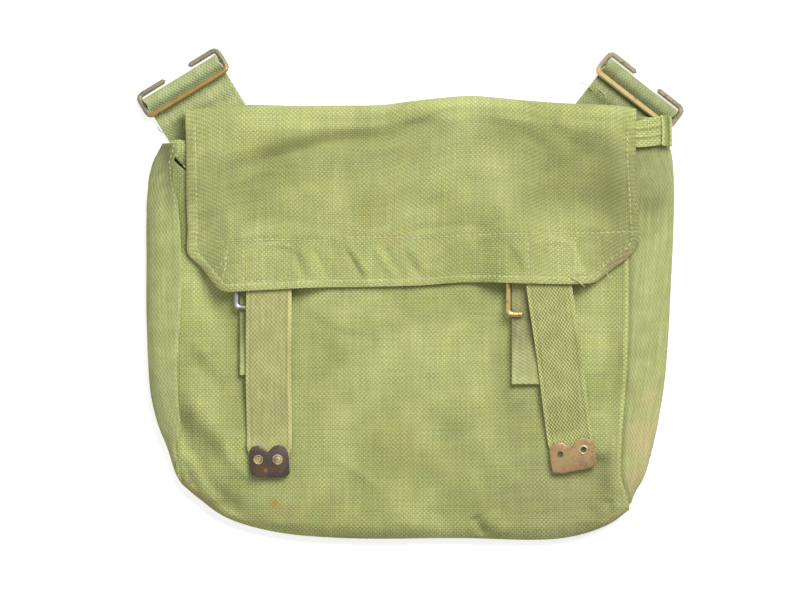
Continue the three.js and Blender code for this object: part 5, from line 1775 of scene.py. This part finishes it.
def paint(piece, material):
    """Gives a piece one material."""
    piece.data.materials.clear()
    piece.data.materials.append(material)


# The soft pieces
SOFT = [
    (back_and_flap(), "canvas", CANVAS_FINISH, "back_and_flap"),
    (front_panel(), "canvas", CANVAS_FINISH, "front_panel"),
    (gusset(), "gusset_web", GUSSET_FINISH, "gusset"),
    (tab("left"), "gusset_web", TAB_FINISH, "tab_left"),
    (tab("right"), "gusset_web", TAB_FINISH, "tab_right"),
    (chape(LEFT), "gusset_web", CHAPE_FINISH, "chape_left"),
    (chape(RIGHT), "gusset_web", CHAPE_FINISH, "chape_right"),
    (strap(LEFT), "strap_web", STRAP_FINISH, "strap_left"),
    (strap(RIGHT), "strap_web", STRAP_COARSE, "strap_right"),
]
for piece, slot, material, node in SOFT:
    paint(piece, material)
    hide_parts(node)

strap_tip(LEFT, DARK_TIP_FINISH)
strap_tip(RIGHT, COPPER_TIP_FINISH)
eyelet("eyelet_left_a", LEFT, (258.7, 459.1), 2.7, EYELET_FINISH)
eyelet("eyelet_left_b", LEFT, (277.9, 459.1), 2.9, EYELET_FINISH)
hole_ring("hole_ring_right", RIGHT, (582.8, 449.4), 2.15, EYELET_FINISH)

CORNERS = [mouth_corner(), hem_corner(), fold_corner()]
for piece in CORNERS:
    paint(piece, CANVAS_FINISH)

# Stitching
FLAP_STITCHES = sew("flap_stitches", [
    on_flap(line) for line in (BAND_SEAM, HEM_SEAM, LEFT_HEM_SEAM, RIGHT_HEM_SEAM, *PATCH_SEAMS)
], 3)
GUSSET_STITCHES = sew("gusset_stitches", GUSSET_ROUTES, 5, length=1.9, thick=0.5)
HEM_STITCHES = sew("hem_stitches", HEM_ROUTES, 7, length=1.9, pitch=2.6)
for piece in (FLAP_STITCHES, GUSSET_STITCHES, HEM_STITCHES):
    paint(piece, THREAD_FINISH)

FLAP_THREADS = loose_threads("haversack_flap", [
    ("flap_tuft_a", 0.5, [(568, 276), (572, 280), (576, 279), (580, 284), (584, 287)],
     [0, 0.8, 1.1, 0.8, 0.3]),
    ("flap_tuft_b", 0.45, [(571, 284), (574, 280), (578, 282), (579, 277), (577, 274)],
     [0, 0.9, 1.2, 0.9, 0.1]),
    ("flap_tuft_c", 0.45, [(606, 272), (608, 275), (607, 278), (610, 279), (611, 276)],
     [0, 0.7, 0.9, 0.7, 0.1]),
    ("flap_loop", 0.5, [(288, 282), (289.6, 285), (289.4, 288), (288.4, 288.6), (287.6, 285)],
     [0, 0.7, 0.9, 0.7, 0.1]),
])
TAB_THREADS = {
    "left": loose_threads("tab_web_left", [
        ("tab_thread_left", 0.45, [(157, 127), (159.5, 129.5), (158.5, 131), (162, 131.6), (166, 133)],
         [0.1, 0.4, 0.6, 0.4, 0.1]),
    ]),
    "right": loose_threads("tab_web_right", [
        ("tab_thread_right", 0.5, [(580, 82.6), (584, 83.4), (588, 84), (590, 87), (593, 90)],
         [0.2, 0.5, 0.8, 0.8, 0.2]),
        ("tab_fray_right", 0.6, [(597, 87), (600, 90.5), (604, 92), (607, 95), (605, 97)],
         [0.1, 0.6, 0.8, 0.6, 0.1]),
    ]),
}

CORNERS + [HEM_STITCHES]


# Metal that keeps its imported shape
for node, material in (
    ("hook_left", HOOK_FINISHES["left"]), ("hook_right", HOOK_FINISHES["right"]),
    ("buckle_left", STEEL_FINISH), ("buckle_right", BRIGHT_FINISH),
):
    paint(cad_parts[node], material)


# Stage
def floor_finish():
    """Pale ground that glows evenly, lighting the bag from below, and shows white to the camera with a
    faint shadow.
    """
    finish = Finish("pale_floor")
    seen = finish.node("ShaderNodeLightPath", None, None, "Is Camera Ray")
    plain = finish.node("ShaderNodeEmission", None, {"Color": (1, 1, 1, 1), "Strength": 0.9})
    white = finish.node("ShaderNodeEmission", None, {"Color": (1, 1, 1, 1), "Strength": 1.02})
    shaded = finish.node("ShaderNodeBsdfDiffuse", None, {"Color": (2.0, 2.0, 2.06, 1)})
    bright = finish.node("ShaderNodeMixShader", None, {0: 0.35, 1: white, 2: shaded})
    both = finish.node("ShaderNodeMixShader", None, {0: seen, 1: plain, 2: bright})
    return finish.surface(both)


FLOOR_SIZE = 8.0
FLOOR_LEVEL = -0.00005
bpy.ops.object.select_all(action="DESELECT")
bpy.ops.mesh.primitive_plane_add(size=FLOOR_SIZE, location=(0, 0, FLOOR_LEVEL))
floor = made("floor")
paint(floor, floor_finish())


def soft_light(name, place, size, power):
    """A square soft light at a place, facing the bag."""
    bpy.ops.object.light_add(type="AREA", location=place)
    lamp = made(name)
    way = -np.array(place, float)
    flat = math.hypot(way[0], way[1])
    lamp.rotation_euler = (math.atan2(flat, -way[2]), 0, math.atan2(way[1], way[0]) - math.pi / 2)
    lamp.data.shape = "SQUARE"
    lamp.data.size = size
    lamp.data.energy = power


soft_light("key_light", (0.56, 0.94, 1.30), 0.9, 27)
soft_light("fill_light", (-1.1, -0.3, 1.3), 1.6, 3)

# The camera looks straight down on a part of the ground that is VIEW_WIDTH across.
SENSOR = 36
VIEW_WIDTH = 0.448
VIEW_DISTANCE = 2.4
FAR = 20
bpy.ops.object.camera_add(location=(-0.0058, -0.0037, 2.408), rotation=(0, 0, 0))
camera = made("camera")
camera.data.lens = SENSOR * VIEW_DISTANCE / VIEW_WIDTH
camera.data.clip_end = FAR
bpy.context.scene.camera = camera

world = bpy.data.worlds.new("studio")
bpy.context.scene.world = world
world.use_nodes = True
background = world.node_tree.nodes["Background"]
background.inputs["Color"].default_value = (1, 1, 1, 1)
background.inputs["Strength"].default_value = 0.30
bpy.context.scene.view_settings.view_transform = "Standard"
